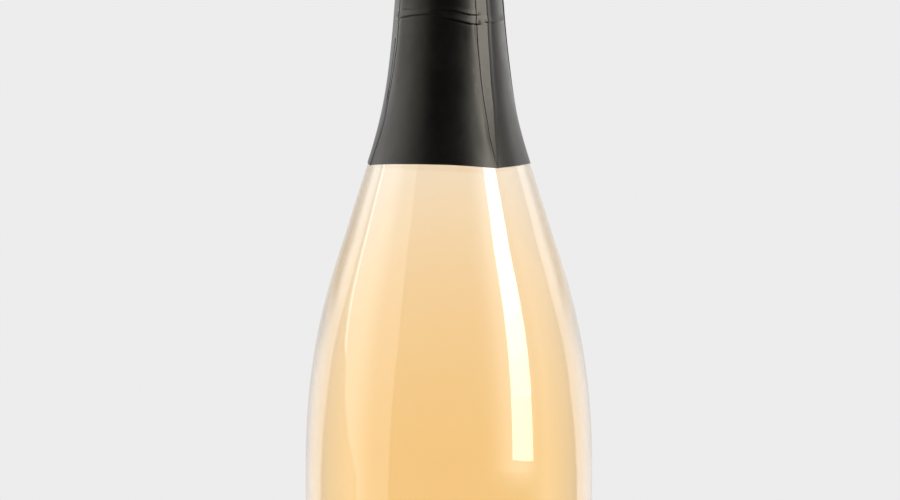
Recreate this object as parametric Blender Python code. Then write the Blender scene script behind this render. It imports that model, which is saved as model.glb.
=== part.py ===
"""A 0.75 litre sparkling wine bottle with its cork, wire cage and pleated foil capsule.

Metres, +Z up. The origin is the middle of the bearing ring that the bottle stands on,
and the front of the bottle looks towards -Y. Azimuths are counted from the front
towards +X. Outlines are lists of (radius, height).
"""

import math

import bmesh
import bpy
from mathutils import Vector
from mathutils.geometry import interpolate_bezier

# Clearance between neighbouring pieces, and the distance under which points are one.
GAP = 0.0003
WELD_DISTANCE = 0.00001

# Glass: the body, shoulder and neck, from the bearing ring upwards.
BODY_DIAMETER = 0.0888
BODY_HEIGHT = 0.1033
SHOULDER_HEIGHT = 0.0719
SHOULDER_TURN_DIAMETER = 0.0635
SHOULDER_TURN_DEG = 17.1
NECK_CURVE_HEIGHT = 0.0788
NECK_DIAMETER = 0.0319
NECK_TAPER_DEG = 4.35
NECK_HEIGHT = 0.0330
NECK_TOP_WALL = 0.00605
SHOULDER_HANDLE_SHARES = (0.528, 0.157)
NECK_CURVE_HANDLE_SHARES = (0.43, 0.598)
NECK_HANDLE_SHARES = (0.33, 0.33)

# Glass: the base with its punt.
HEEL_RADIUS = 0.0100
BEARING_RING_WIDTH = 0.0030
PUNT_DEPTH = 0.0350
PUNT_EDGE_HANDLE_SHARES = (0.12, 0.50)
PUNT_TOP_HANDLE_SHARE = 0.42
PUNT_THICKNESS = 0.0070
BASE_THICKNESS = 0.0085
INNER_HEEL_RADIUS = 0.0042

# Glass: the wall, and the bore that grips the cork.
BODY_WALL = 0.0042
SHOULDER_WALL = 0.0044
NECK_WALL = 0.0053
BORE_DIAMETER = 0.0175
BORE_LENGTH = 0.0300
BORE_EDGE_RADIUS = 0.0008

# Glass: the finish, measured down from the lip, and outwards from the bore and the neck.
FINISH_HEIGHT = 0.0180
BEAD_WALL = 0.00555
BEAD_HEIGHT = 0.0048
BEAD_ROUND = 0.0017
GROOVE_DEPTH = 0.0012
RING_WIDTH = 0.0021
RING_HEIGHT = 0.0078
RING_UPPER_ROUND = 0.0022
RING_LOWER_ROUND = 0.0009

# Wine: how far below the lip its surface lies.
FILL_DEPTH = 0.0800

# Cork.
CORK_DEPTH = 0.0250
CORK_DISC_THICKNESS = 0.0060
CORK_HEAD_DIAMETER = 0.0310
CORK_HEAD_HEIGHT = 0.0190
CORK_HEAD_ROUND = 0.0040
CORK_HEAD_FOOT_WIDTH = 0.0018
CORK_HEAD_FOOT_HEIGHT = 0.0055
CORK_CHAMFER = 0.0006

# Metal cap on the cork's head, set in from the head's side.
CAP_INSET = 0.0022
CAP_THICKNESS = 0.0003
CAP_SLOPE_WIDTH = 0.0033
CAP_RIM_DROP = 0.0003

# Wire cage.
WIRE_DIAMETER = 0.00095
CAGE_RING_INSET = 0.0014
CAGE_LEGS = 4
CAGE_LEG_AZIMUTH_DEG = 45
TWIST_PITCH = 0.0080
EYE_TAIL_HEIGHT = 0.0125
EYE_WIDTH = 0.0080
EYE_HEIGHT = 0.0100
EYE_AZIMUTH_DEG = 0
STRAND_SPREAD_SHARE = 0.866
EYELET_JOIN_DEG = 50

# Foil capsule: a conical sleeve, whose skirt is pleated onto the neck. Its eases are what
# is left between its inside and the cage at the cork's head, the cage at the neck's ring
# and the glass at the skirt's edge.
FOIL_THICKNESS = 0.0003
HEAD_EASE = 0.0003
RING_EASE = 0.00137
EDGE_EASE = 0.0004
CAPSULE_EDGE_DEPTH = 0.1106
TEAR_STRIP_DROP = 0.0030
TEAR_STRIP_HEIGHT = 0.0070
HOOD_ROUND = 0.0015
HOOD_FLANGE_WIDTH = 0.0040
SKIRT_FLARE_HEIGHT = 0.0200

# Pleats of the skirt: (azimuth, way the flap lies, tip and next bow as shares of the bow).
PLEAT_AZIMUTH_DEGREES = (-80.0, 37.4, 104.0, 192.0)
PLEAT_WAYS = (-1, 1, 1, -1)
PLEAT_TIP_SHARES = (0.75, 0.0, 0.45, 0.60)
PLEAT_BOW_SHARES = (0.55, 1.0, 0.9, 1.0)
PLEAT_BOW = 0.0013
PLEAT_STEP = 0.0004
PLEAT_FULL_WIDTH = 0.0020
PLEAT_LEAST_WIDTH = 0.0007
PLEAT_EDGE_WIDTH = 0.0002
PLEAT_CREST_SHARE = 0.6

# Pull tab of the tear strip.
TAB_LENGTH = 0.0090
TAB_MARGIN = 0.0010
TAB_AZIMUTH_DEG = 128
TAB_END_ROUND = 0.0018

# How finely round shapes are cut.
CURVE_STEPS = 5
ROUND_STEPS = 2
BOTTLE_SIDES = 36
CORK_SIDES = 28
CAPSULE_SIDES = 36
WIRE_SIDES = 6
TWIST_STEPS = 6
EYELET_STEPS = 10
BELT_STEPS = 40
EYE_STEPS = 14
PANEL_STEP_DEG = 14
SKIRT_HEIGHT_SHARES = (
    0.0, 0.045, 0.11, 0.20, 0.30, 0.42, 0.55, 0.69, 0.82, 0.87, 0.915, 0.955, 1.0,
)

# Diameters, heights and radii that follow from the sizes above.
NECK_TOP_DIAMETER = BORE_DIAMETER + 2 * NECK_TOP_WALL
BEAD_DIAMETER = BORE_DIAMETER + 2 * BEAD_WALL
GROOVE_DIAMETER = BEAD_DIAMETER - 2 * GROOVE_DEPTH
RING_DIAMETER = NECK_TOP_DIAMETER + 2 * RING_WIDTH
CAP_DIAMETER = CORK_HEAD_DIAMETER - 2 * CAP_INSET
CAGE_RING_DIAMETER = CAP_DIAMETER - 2 * CAGE_RING_INSET
SHOULDER_TURN_Z = BODY_HEIGHT + SHOULDER_HEIGHT
NECK_START_Z = SHOULDER_TURN_Z + NECK_CURVE_HEIGHT
RING_UNDERSIDE_Z = NECK_START_Z + NECK_HEIGHT
LIP_Z = RING_UNDERSIDE_Z + FINISH_HEIGHT
BORE_END_Z = LIP_Z - BORE_LENGTH
WINE_TOP_Z = LIP_Z - FILL_DEPTH
CORK_HEAD_TOP_Z = LIP_Z + GAP + CORK_HEAD_HEIGHT
CAP_TOP_Z = CORK_HEAD_TOP_Z + GAP + CAP_THICKNESS
CAGE_SEAT_Z = CAP_TOP_Z + GAP
WIRE_RADIUS = WIRE_DIAMETER / 2
PAIR_RADIUS = WIRE_DIAMETER
EYELET_RADIUS = WIRE_DIAMETER + GAP
BELT_Z = RING_UNDERSIDE_Z - GAP - EYELET_RADIUS - WIRE_RADIUS
BELT_INNER_RADIUS = NECK_TOP_DIAMETER / 2 + GAP + WIRE_RADIUS
BELT_OUTER_RADIUS = BELT_INNER_RADIUS + EYELET_RADIUS
RING_SIDE_RADIUS = RING_DIAMETER / 2 + GAP + PAIR_RADIUS
HEAD_SIDE_RADIUS = CORK_HEAD_DIAMETER / 2 + GAP + PAIR_RADIUS
DISC_Z = CAGE_SEAT_Z + 2 * PAIR_RADIUS + GAP
CAPSULE_TOP_Z = DISC_Z + 2 * FOIL_THICKNESS + GAP
CAPSULE_EDGE_Z = LIP_Z - CAPSULE_EDGE_DEPTH
TEAR_STRIP_Z = RING_UNDERSIDE_Z - TEAR_STRIP_DROP
HOOD_Z = TEAR_STRIP_Z + TEAR_STRIP_HEIGHT + GAP
SKIRT_TOP_Z = TEAR_STRIP_Z - GAP
SLEEVE_TOP_RADIUS = HEAD_SIDE_RADIUS + PAIR_RADIUS + HEAD_EASE + FOIL_THICKNESS
SLEEVE_STRIP_RADIUS = RING_SIDE_RADIUS + PAIR_RADIUS + RING_EASE + FOIL_THICKNESS


def arc(centre, radius, start_deg, end_deg, steps):
    """Points of an outline along a round arc, both ends included."""
    points = []
    for step in range(steps + 1):
        angle = math.radians(start_deg + (end_deg - start_deg) * step / steps)
        points.append((centre[0] + radius * math.cos(angle), centre[1] + radius * math.sin(angle)))
    return points


def bezier(start, start_handle, end_handle, end, steps):
    """Points of an outline along a Bezier curve, both ends included."""
    knots = (Vector(point) for point in (start, start_handle, end_handle, end))
    return [tuple(point) for point in interpolate_bezier(*knots, steps + 1)]


def at_azimuth(radius, height, azimuth):
    """The point at a radius and height, azimuth radians from the front towards +X."""
    return Vector((radius * math.sin(azimuth), -radius * math.cos(azimuth), height))


def rising_curve(start, end, start_deg, end_deg, handle_shares, steps):
    """A Bezier between two outline points that leans inwards by the given angles at its ends."""
    rise = end[1] - start[1]
    first, last = rise * handle_shares[0], rise * handle_shares[1]
    start_handle = (start[0] - first * math.tan(math.radians(start_deg)), start[1] + first)
    end_handle = (end[0] + last * math.tan(math.radians(end_deg)), end[1] - last)
    return bezier(start, start_handle, end_handle, end, steps)


def shoulder_and_neck(body_radius, turn_radius, neck_radius, top):
    """The outline from the top of the straight body to the top point of the neck."""
    body, turn = (body_radius, BODY_HEIGHT), (turn_radius, SHOULDER_TURN_Z)
    neck = (neck_radius, NECK_START_Z)
    shoulder = rising_curve(
        body, turn, 0, SHOULDER_TURN_DEG, SHOULDER_HANDLE_SHARES, CURVE_STEPS
    )
    curve = rising_curve(
        turn, neck, SHOULDER_TURN_DEG, NECK_TAPER_DEG, NECK_CURVE_HANDLE_SHARES, CURVE_STEPS
    )
    upper = rising_curve(neck, top, NECK_TAPER_DEG, 0, NECK_HANDLE_SHARES, ROUND_STEPS)
    return shoulder + curve[1:] + upper[1:]


def outer_wall():
    """The outside of the glass from the body's top to the underside of the neck's ring."""
    top = (NECK_TOP_DIAMETER / 2, RING_UNDERSIDE_Z)
    return shoulder_and_neck(
        BODY_DIAMETER / 2, SHOULDER_TURN_DIAMETER / 2, NECK_DIAMETER / 2, top
    )


def inner_wall():
    """The inside of the glass from the body's top to the lower end of the bore."""
    return shoulder_and_neck(
        BODY_DIAMETER / 2 - BODY_WALL,
        SHOULDER_TURN_DIAMETER / 2 - SHOULDER_WALL,
        NECK_DIAMETER / 2 - NECK_WALL,
        (BORE_DIAMETER / 2, BORE_END_Z),
    )


def punt():
    """The hollow under the base, from the edge of the bearing ring to its top."""
    edge = (BODY_DIAMETER / 2 - HEEL_RADIUS - BEARING_RING_WIDTH, 0.0)
    inwards, upwards = PUNT_EDGE_HANDLE_SHARES
    return bezier(
        edge,
        (edge[0] * (1 - inwards), PUNT_DEPTH * upwards),
        (edge[0] * PUNT_TOP_HANDLE_SHARE, PUNT_DEPTH),
        (0.0, PUNT_DEPTH),
        CURVE_STEPS,
    )


def outer_base():
    """The outside of the base, from the body's wall under the heel to the top of the punt."""
    heel_centre = (BODY_DIAMETER / 2 - HEEL_RADIUS, HEEL_RADIUS)
    return arc(heel_centre, HEEL_RADIUS, 0, -90, 4) + punt()


def inner_base():
    """The inside of the base: a dome over the punt, then a round channel up to the wall."""
    wall_radius = BODY_DIAMETER / 2 - BODY_WALL
    corner = (wall_radius - INNER_HEEL_RADIUS, BASE_THICKNESS + INNER_HEEL_RADIUS)
    channel = arc(corner, INNER_HEEL_RADIUS, -150, 0, 4)
    dome = offset_to_left(punt()[::-1], PUNT_THICKNESS)
    reach = channel[0][0] - INNER_HEEL_RADIUS / 2
    return [point for point in dome if point[0] < reach and point[1] > channel[0][1]] + channel


def finish():
    """The neck's ring, groove, bead and lip, from the ring's underside into the bore."""
    ring_radius, groove_radius = RING_DIAMETER / 2, GROOVE_DIAMETER / 2
    bead_radius, bore_radius = BEAD_DIAMETER / 2, BORE_DIAMETER / 2
    ring_top = RING_UNDERSIDE_Z + RING_HEIGHT
    lower = (ring_radius - RING_LOWER_ROUND, RING_UNDERSIDE_Z + RING_LOWER_ROUND)
    upper = (ring_radius - RING_UPPER_ROUND, ring_top - RING_UPPER_ROUND)
    bead = (bead_radius - BEAD_ROUND, LIP_Z - BEAD_ROUND)
    mouth = (bore_radius + BORE_EDGE_RADIUS, LIP_Z - BORE_EDGE_RADIUS)
    bead_foot = (bead_radius, LIP_Z - BEAD_HEIGHT + (bead_radius - groove_radius))
    points = arc(lower, RING_LOWER_ROUND, -90, 0, ROUND_STEPS)
    points += arc(upper, RING_UPPER_ROUND, 0, 90, ROUND_STEPS)
    points += [(groove_radius, ring_top), (groove_radius, LIP_Z - BEAD_HEIGHT), bead_foot]
    points += arc(bead, BEAD_ROUND, 0, 90, ROUND_STEPS)
    return points + arc(mouth, BORE_EDGE_RADIUS, 90, 180, ROUND_STEPS)


def bottle_outline():
    """The whole outline of the glass, from inside the punt, over the lip and down again."""
    inside = inner_base() + inner_wall()
    outside = outer_wall() + finish()
    return inside + outside[::-1] + outer_base()


def offset_to_left(points, distance):
    """An outline moved to its left-hand side, with its first point kept on the axis."""
    moved = []
    for index, point in enumerate(points):
        before = points[max(index - 1, 0)]
        after = points[min(index + 1, len(points) - 1)]
        along = (Vector(after) - Vector(before)).normalized()
        moved.append((point[0] - along.y * distance, point[1] + along.x * distance))
    moved[0] = (0.0, points[0][1] + distance)
    return moved


def radius_at(outline, height):
    """The radius of a rising outline at a height."""
    for (low_radius, low), (high_radius, high) in zip(outline, outline[1:]):
        if low <= height <= high:
            return low_radius + (high_radius - low_radius) * (height - low) / (high - low)
    return outline[0][0] if height < outline[0][1] else outline[-1][0]


def sleeve():
    """The outside of the capsule's sleeve before its skirt is pleated."""
    edge_radius = radius_at(outer_wall(), CAPSULE_EDGE_Z) + GAP + FOIL_THICKNESS + EDGE_EASE
    return [
        (edge_radius, CAPSULE_EDGE_Z),
        (SLEEVE_STRIP_RADIUS, TEAR_STRIP_Z),
        (SLEEVE_TOP_RADIUS, CAPSULE_TOP_Z),
    ]


def cone_radius(height):
    return radius_at(sleeve(), height)


def principled(name, colour, roughness, metallic=0.0, transmission=0.0):
    material = bpy.data.materials.new(name)
    material.use_nodes = True
    shader = material.node_tree.nodes["Principled BSDF"]
    shader.inputs["Base Color"].default_value = (*colour, 1.0)
    shader.inputs["Roughness"].default_value = roughness
    shader.inputs["Metallic"].default_value = metallic
    shader.inputs["Transmission Weight"].default_value = transmission
    material.diffuse_color = (*colour, 1.0)
    return material


def finished(name, bm, material):
    """Turns a bmesh into a smooth shaded object of the scene."""
    bmesh.ops.remove_doubles(bm, verts=bm.verts[:], dist=WELD_DISTANCE)
    bmesh.ops.recalc_face_normals(bm, faces=bm.faces[:])
    mesh = bpy.data.meshes.new(name)
    bm.to_mesh(mesh)
    bm.free()
    mesh.shade_smooth()
    mesh.set_sharp_from_angle(angle=math.radians(40))
    piece = bpy.data.objects.new(name, mesh)
    bpy.context.collection.objects.link(piece)
    if material:
        mesh.materials.append(material)
    return piece


def turned(name, outline, sides, material, closed=False):
    """Spins an outline around Z. A closed outline makes a ring."""
    bm = bmesh.new()
    verts = [bm.verts.new((radius, 0.0, height)) for radius, height in outline]
    ends = verts[1:] + verts[:1] if closed else verts[1:]
    edges = [bm.edges.new(pair) for pair in zip(verts, ends)]
    bmesh.ops.spin(
        bm,
        geom=verts + edges,
        cent=(0.0, 0.0, 0.0),
        axis=(0.0, 0.0, 1.0),
        angle=math.tau,
        steps=sides,
        use_merge=True,
    )
    return finished(name, bm, material)


def parent_empty(name, place, parent=None):
    """An empty on the axis of a moving body."""
    empty = bpy.data.objects.new(name, None)
    bpy.context.collection.objects.link(empty)
    empty.parent = parent
    empty.location = place - (parent.matrix_world.translation if parent else Vector())
    bpy.context.view_layer.update()
    return empty


def carried_by(empty, *pieces):
    """Parents pieces to an empty and leaves them where they are."""
    for piece in pieces:
        piece.parent = empty
        piece.matrix_parent_inverse = empty.matrix_world.inverted()


def spaced(points, spacing, closed=False):
    """Points about a spacing apart along a smooth curve through the given points."""
    knots = [Vector(point) for point in points]
    if closed:
        knots = [knots[-1], *knots, knots[0], knots[1]]
    else:
        knots = [2 * knots[0] - knots[1], *knots, 2 * knots[-1] - knots[-2]]
    fine = []
    for before, start, end, after in zip(knots, knots[1:], knots[2:], knots[3:]):
        reach = (end - start).length
        start_way = (end - before).normalized() * reach / 3
        end_way = (after - start).normalized() * reach / 3
        fine += interpolate_bezier(start, start + start_way, end - end_way, end, 17)[:-1]
    if not closed:
        fine.append(knots[-2])
    travelled = [0.0]
    ring = fine + fine[:1] if closed else fine
    for start, end in zip(ring, ring[1:]):
        travelled.append(travelled[-1] + (end - start).length)
    count = max(2, round(travelled[-1] / spacing))
    found, index = [], 0
    for step in range(count if closed else count + 1):
        wanted = travelled[-1] * step / count
        while index < len(travelled) - 2 and travelled[index + 1] < wanted:
            index += 1
        span = travelled[index + 1] - travelled[index]
        found.append(ring[index].lerp(ring[index + 1], (wanted - travelled[index]) / span))
    return found


def sweep(bm, path, profile, side, pitch=None, closed=False):
    """Sweeps a profile of (across, aside) points along a flat path.

    side is the direction square to the path's plane. With a pitch, the profile turns once
    for each pitch that it travels.
    """
    rings, travelled = [], 0.0
    for index, point in enumerate(path):
        before = path[index - 1] if index or closed else point
        after = path[(index + 1) % len(path)] if index + 1 < len(path) or closed else point
        along = (after - before).normalized()
        across = side.cross(along)
        if index:
            travelled += (point - path[index - 1]).length
        turn = math.tau * travelled / pitch if pitch else 0.0
        ring = []
        for u, v in profile:
            out = u * math.cos(turn) - v * math.sin(turn)
            aside = u * math.sin(turn) + v * math.cos(turn)
            ring.append(bm.verts.new(point + across * out + side * aside))
        rings.append(ring)
    following = rings[1:] + rings[:1] if closed else rings[1:]
    for ring, following_ring in zip(rings, following):
        for index in range(len(profile)):
            after = (index + 1) % len(profile)
            bm.faces.new((ring[index], ring[after], following_ring[after], following_ring[index]))
    if not closed:
        bm.faces.new(rings[0][::-1])
        bm.faces.new(rings[-1])


def wire_profile():
    """The round section of a single wire."""
    return arc((0.0, 0.0), WIRE_RADIUS, 0, 360, WIRE_SIDES)[:-1]


def pair_profile():
    """The section of two wires twisted together, which lie side by side and touch."""
    spread = WIRE_RADIUS * STRAND_SPREAD_SHARE
    waist = (0.0, WIRE_RADIUS * math.sin(math.radians(30)))
    half = arc((spread, 0.0), WIRE_RADIUS, -90, 90, 3) + [waist]
    return half + [(-u, -v) for u, v in half]


def radial_path(outline, azimuth, spacing):
    """A smooth path through outline points, standing at an azimuth, and its plane's side."""
    points = [at_azimuth(radius, height, azimuth) for radius, height in outline]
    return spaced(points, spacing), at_azimuth(1, 0, azimuth + math.pi / 2)


def cage_side():
    """Centre line of the cage's side, from the foot of the neck's ring to the cork's head."""
    return [
        (RING_SIDE_RADIUS, RING_UNDERSIDE_Z + RING_LOWER_ROUND),
        (RING_SIDE_RADIUS, RING_UNDERSIDE_Z + RING_HEIGHT - RING_UPPER_ROUND),
        (HEAD_SIDE_RADIUS, LIP_Z + GAP + PAIR_RADIUS),
    ]


def leg_outline():
    """Centre line of a cage leg: over the cork's head, past the neck's ring, to its eyelet."""
    corner_radius = CORK_HEAD_DIAMETER / 2 - CORK_HEAD_ROUND
    corner_z = CORK_HEAD_TOP_Z - CORK_HEAD_ROUND
    aside = HEAD_SIDE_RADIUS - corner_radius
    above = CAGE_SEAT_Z + PAIR_RADIUS - corner_z
    join = math.radians(EYELET_JOIN_DEG)
    points = [(CAGE_RING_DIAMETER / 2, CAGE_SEAT_Z + WIRE_RADIUS)]
    for degrees in (70, 45, 20, 0):
        angle = math.radians(degrees)
        points.append(
            (corner_radius + aside * math.cos(angle), corner_z + above * math.sin(angle))
        )
    points += cage_side()[::-1]
    eyelet_z = BELT_Z + EYELET_RADIUS * math.sin(join)
    return points + [(BELT_OUTER_RADIUS + EYELET_RADIUS * math.cos(join), eyelet_z)]


def tail_outline():
    """Centre line of the belt's twisted tail, folded up against the neck's ring."""
    corner = (RING_SIDE_RADIUS - EYELET_RADIUS, BELT_Z + EYELET_RADIUS)
    fold = arc(corner, EYELET_RADIUS, -90, 0, 2)
    top_z = BELT_Z + EYE_TAIL_HEIGHT
    return [(BELT_INNER_RADIUS, BELT_Z)] + fold + [(radius_at(cage_side(), top_z), top_z)]


def leg_azimuths():
    start = math.radians(CAGE_LEG_AZIMUTH_DEG)
    return [start + math.tau * leg / CAGE_LEGS for leg in range(CAGE_LEGS)]


def joined_to(piece, *tools):
    """Unions helper meshes with a piece and hides them."""
    for tool in tools:
        union = piece.modifiers.new(tool.name, "BOOLEAN")
        union.operation = "UNION"
        union.object = tool
        tool.hide_render = True
        tool.display_type = "WIRE"
    return piece


def make_bottle():
    glass = principled("clear_glass", (0.93, 0.95, 0.94), 0.02, transmission=1.0)
    return turned("bottle", bottle_outline(), BOTTLE_SIDES, glass)


def make_wine():
    """The wine fills the glass up to its level, a gap inside the wall."""
    liquid = principled("peach_wine", (0.93, 0.62, 0.28), 0.02, transmission=1.0)
    filled = offset_to_left(inner_base() + inner_wall(), GAP)
    outline = [point for point in filled if point[1] < WINE_TOP_Z - GAP]
    surface_radius = radius_at(inner_wall(), WINE_TOP_Z) - GAP
    outline += [(surface_radius, WINE_TOP_Z), (0.0, WINE_TOP_Z)]
    return turned("wine", outline, BOTTLE_SIDES, liquid)


def make_cork():
    """The agglomerated mushroom, and the two natural discs under it."""
    agglomerate = principled("agglomerated_cork", (0.55, 0.36, 0.19), 0.85)
    shank = BORE_DIAMETER / 2 - GAP
    head = CORK_HEAD_DIAMETER / 2
    foot_z = LIP_Z + GAP
    disc_tops = [LIP_Z - CORK_DEPTH + CORK_DISC_THICKNESS]
    disc_tops.append(disc_tops[0] + GAP + CORK_DISC_THICKNESS)
    top_corner = (head - CORK_HEAD_ROUND, CORK_HEAD_TOP_Z - CORK_HEAD_ROUND)
    foot = (BORE_DIAMETER / 2 + CORK_HEAD_FOOT_WIDTH, foot_z)
    swell = bezier(
        foot,
        (head - CORK_HEAD_FOOT_WIDTH, foot_z),
        (head, foot_z + CORK_HEAD_FOOT_HEIGHT / 3),
        (head, foot_z + CORK_HEAD_FOOT_HEIGHT),
        4,
    )
    outline = [(0.0, CORK_HEAD_TOP_Z)] + arc(top_corner, CORK_HEAD_ROUND, 90, 0, 4)
    outline += swell[::-1] + [(shank, foot_z)]
    outline += [(shank, disc_tops[1] + GAP), (0.0, disc_tops[1] + GAP)]
    pieces = [turned("cork_body", outline, CORK_SIDES, agglomerate)]
    for name, top in zip(("cork_disc_lower", "cork_disc_upper"), disc_tops):
        low = top - CORK_DISC_THICKNESS
        edge = (shank - CORK_CHAMFER, low)
        disc = [(0.0, top), (shank, top), (shank, low + CORK_CHAMFER), edge, (0.0, low)]
        natural = principled(name + "_cork", (0.62, 0.43, 0.25), 0.8)
        pieces.append(turned(name, disc, CORK_SIDES, natural))
    return pieces


def make_metal_cap():
    """The pressed plate between cork and cage, with its rim turned down."""
    steel = principled("cap_plate", (0.72, 0.72, 0.70), 0.3, metallic=1.0)
    rim = CAP_DIAMETER / 2
    flat = rim - CAP_SLOPE_WIDTH
    low = CAP_TOP_Z - CAP_THICKNESS
    outline = [
        (0.0, CAP_TOP_Z),
        (flat, CAP_TOP_Z),
        (rim - CAP_THICKNESS, CAP_TOP_Z - CAP_RIM_DROP / 2),
        (rim, CAP_TOP_Z - CAP_RIM_DROP),
        (rim, low - CAP_RIM_DROP),
        (rim - CAP_THICKNESS, low - CAP_RIM_DROP),
        (flat, low),
        (0.0, low),
    ]
    return turned("cork_cap_plate", outline, CORK_SIDES, steel)


def make_cage_wire():
    """One wire: the ring on the cap, four twisted legs and an eyelet at the end of each."""
    steel = principled("cage_steel", (0.62, 0.62, 0.60), 0.3, metallic=1.0)
    legs, ring, eyelets = bmesh.new(), bmesh.new(), bmesh.new()
    for azimuth in leg_azimuths():
        path, side = radial_path(leg_outline(), azimuth, TWIST_PITCH / TWIST_STEPS)
        lying = [(-v, u) for u, v in pair_profile()]
        sweep(legs, path, lying, side, pitch=TWIST_PITCH)
        loop = arc((BELT_OUTER_RADIUS, BELT_Z), EYELET_RADIUS, 0, 360, EYELET_STEPS)[:-1]
        points = [at_azimuth(radius, height, azimuth) for radius, height in loop]
        sweep(eyelets, points, wire_profile(), side, closed=True)
    hoop = [
        at_azimuth(CAGE_RING_DIAMETER / 2, CAGE_SEAT_Z + WIRE_RADIUS, math.tau * step / CORK_SIDES)
        for step in range(CORK_SIDES)
    ]
    sweep(ring, hoop, wire_profile(), Vector((0, 0, 1)), closed=True)
    cage = finished("cage_wire", legs, steel)
    tools = finished("cage_ring_part", ring, None), finished("cage_eyelet_parts", eyelets, None)
    return joined_to(cage, *tools)


def make_belt_wire():
    """The wire through the eyelets, with its twisted tail folded up and the eye at its end."""
    steel = principled("belt_steel", (0.62, 0.62, 0.60), 0.3, metallic=1.0)
    belt, tail, eye = bmesh.new(), bmesh.new(), bmesh.new()
    middle = (BELT_OUTER_RADIUS + BELT_INNER_RADIUS) / 2
    swing = (BELT_OUTER_RADIUS - BELT_INNER_RADIUS) / 2
    first_leg = math.radians(CAGE_LEG_AZIMUTH_DEG)
    hoop = []
    for step in range(BELT_STEPS):
        azimuth = math.tau * step / BELT_STEPS
        radius = middle + swing * math.cos(CAGE_LEGS * (azimuth - first_leg))
        hoop.append(at_azimuth(radius, BELT_Z, azimuth))
    sweep(belt, hoop, wire_profile(), Vector((0, 0, 1)), closed=True)
    front = math.radians(EYE_AZIMUTH_DEG)
    path, side = radial_path(tail_outline(), front, TWIST_PITCH / TWIST_STEPS)
    sweep(tail, path, pair_profile(), side, pitch=TWIST_PITCH)
    middle_z = BELT_Z + EYE_TAIL_HEIGHT + EYE_HEIGHT / 2 - WIRE_RADIUS
    oval = []
    for step in range(EYE_STEPS):
        angle = math.tau * step / EYE_STEPS
        aside = side * math.cos(angle) * (EYE_WIDTH / 2 - WIRE_RADIUS)
        height = middle_z + math.sin(angle) * (EYE_HEIGHT / 2 - WIRE_RADIUS)
        oval.append(at_azimuth(radius_at(cage_side(), height), height, front) + aside)
    sweep(eye, oval, wire_profile(), at_azimuth(1, 0, front), closed=True)
    wire = finished("belt_wire", belt, steel)
    tools = finished("belt_tail_part", tail, None), finished("belt_eye_part", eye, None)
    return joined_to(wire, *tools)


def skirt_inner_radius(height, glass):
    """The skirt hugs the glass, and flares under the cage to the sleeve's own width."""
    hugging = radius_at(glass, height) + GAP
    sleeve = cone_radius(height) - FOIL_THICKNESS
    share = (height - SKIRT_TOP_Z) / SKIRT_FLARE_HEIGHT + 1
    share = min(max(share, 0.0), 1.0)
    return hugging + (sleeve - hugging) * share * share * (3 - 2 * share)


def flap_width(height, glass):
    """Half of the sleeve's spare girth at this height, shared by the pleats."""
    wrapped = skirt_inner_radius(height, glass) + FOIL_THICKNESS
    spare = math.tau * (cone_radius(height) - wrapped)
    return max(spare / (2 * len(PLEAT_WAYS)), PLEAT_LEAST_WIDTH)


def skirt_columns(height, glass):
    """(azimuth, pleat, share of the way to the next pleat, raised share) around the skirt."""
    radius = skirt_inner_radius(height, glass) + FOIL_THICKNESS
    width = flap_width(height, glass)
    raised = min(width / PLEAT_FULL_WIDTH, 1.0)
    flaps = []
    for degrees, way in zip(PLEAT_AZIMUTH_DEGREES, PLEAT_WAYS):
        middle = math.radians(degrees)
        places = [0.0, PLEAT_EDGE_WIDTH, width * PLEAT_CREST_SHARE, width]
        heights = [0.0, raised, raised, 0.0]
        angles = [middle + way * (place - width / 2) / radius for place in places]
        flap = list(zip(angles, heights))
        flaps.append(flap if way > 0 else flap[::-1])
    columns = []
    for index, flap in enumerate(flaps):
        columns += [(angle, index, 0.0, height) for angle, height in flap]
        following = (index + 1) % len(flaps)
        turn = (PLEAT_AZIMUTH_DEGREES[following] - PLEAT_AZIMUTH_DEGREES[index]) % 360
        steps = math.ceil(turn / PANEL_STEP_DEG)
        start = flap[-1][0]
        end = flaps[following][0][0]
        end += math.tau if end < start else 0.0
        for step in range(1, steps):
            share = step / steps
            columns.append((start + (end - start) * share, index, share, 0.0))
    return columns


def skirt_edge_height(pleat, share):
    """Height of the scalloped edge above the sleeve's edge, between a pleat and the next."""
    following = (pleat + 1) % len(PLEAT_TIP_SHARES)
    tip = PLEAT_TIP_SHARES[pleat] * (1 - share) + PLEAT_TIP_SHARES[following] * share
    return PLEAT_BOW * (tip + PLEAT_BOW_SHARES[pleat] * 4 * share * (1 - share))


def make_skirt(foil):
    """The pleated part of the capsule, a shell whose flaps stand a step above the rest."""
    glass = outer_wall()
    bm = bmesh.new()
    outer, inner = [], []
    for level in SKIRT_HEIGHT_SHARES:
        nominal = CAPSULE_EDGE_Z + (SKIRT_TOP_Z - CAPSULE_EDGE_Z) * level
        outer_ring, inner_ring = [], []
        for azimuth, pleat, share, raised in skirt_columns(nominal, glass):
            height = nominal + skirt_edge_height(pleat, share) * (1 - level)
            base = skirt_inner_radius(height, glass)
            outside = base + FOIL_THICKNESS + PLEAT_STEP * raised
            outer_ring.append(bm.verts.new(at_azimuth(outside, height, azimuth)))
            inner_ring.append(bm.verts.new(at_azimuth(base, height, azimuth)))
        outer.append(outer_ring)
        inner.append(inner_ring)
    loops = outer + inner[::-1] + outer[:1]
    count = len(outer[0])
    for lower, upper in zip(loops, loops[1:]):
        for index in range(count):
            after = (index + 1) % count
            bm.faces.new((lower[index], lower[after], upper[after], upper[index]))
    return finished("capsule_skirt", bm, foil)


def sleeve_outline(low, high):
    """A closed outline of the unpleated sleeve between two heights."""
    return [
        (cone_radius(high), high),
        (cone_radius(low), low),
        (cone_radius(low) - FOIL_THICKNESS, low),
        (cone_radius(high) - FOIL_THICKNESS, high),
    ]


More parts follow.
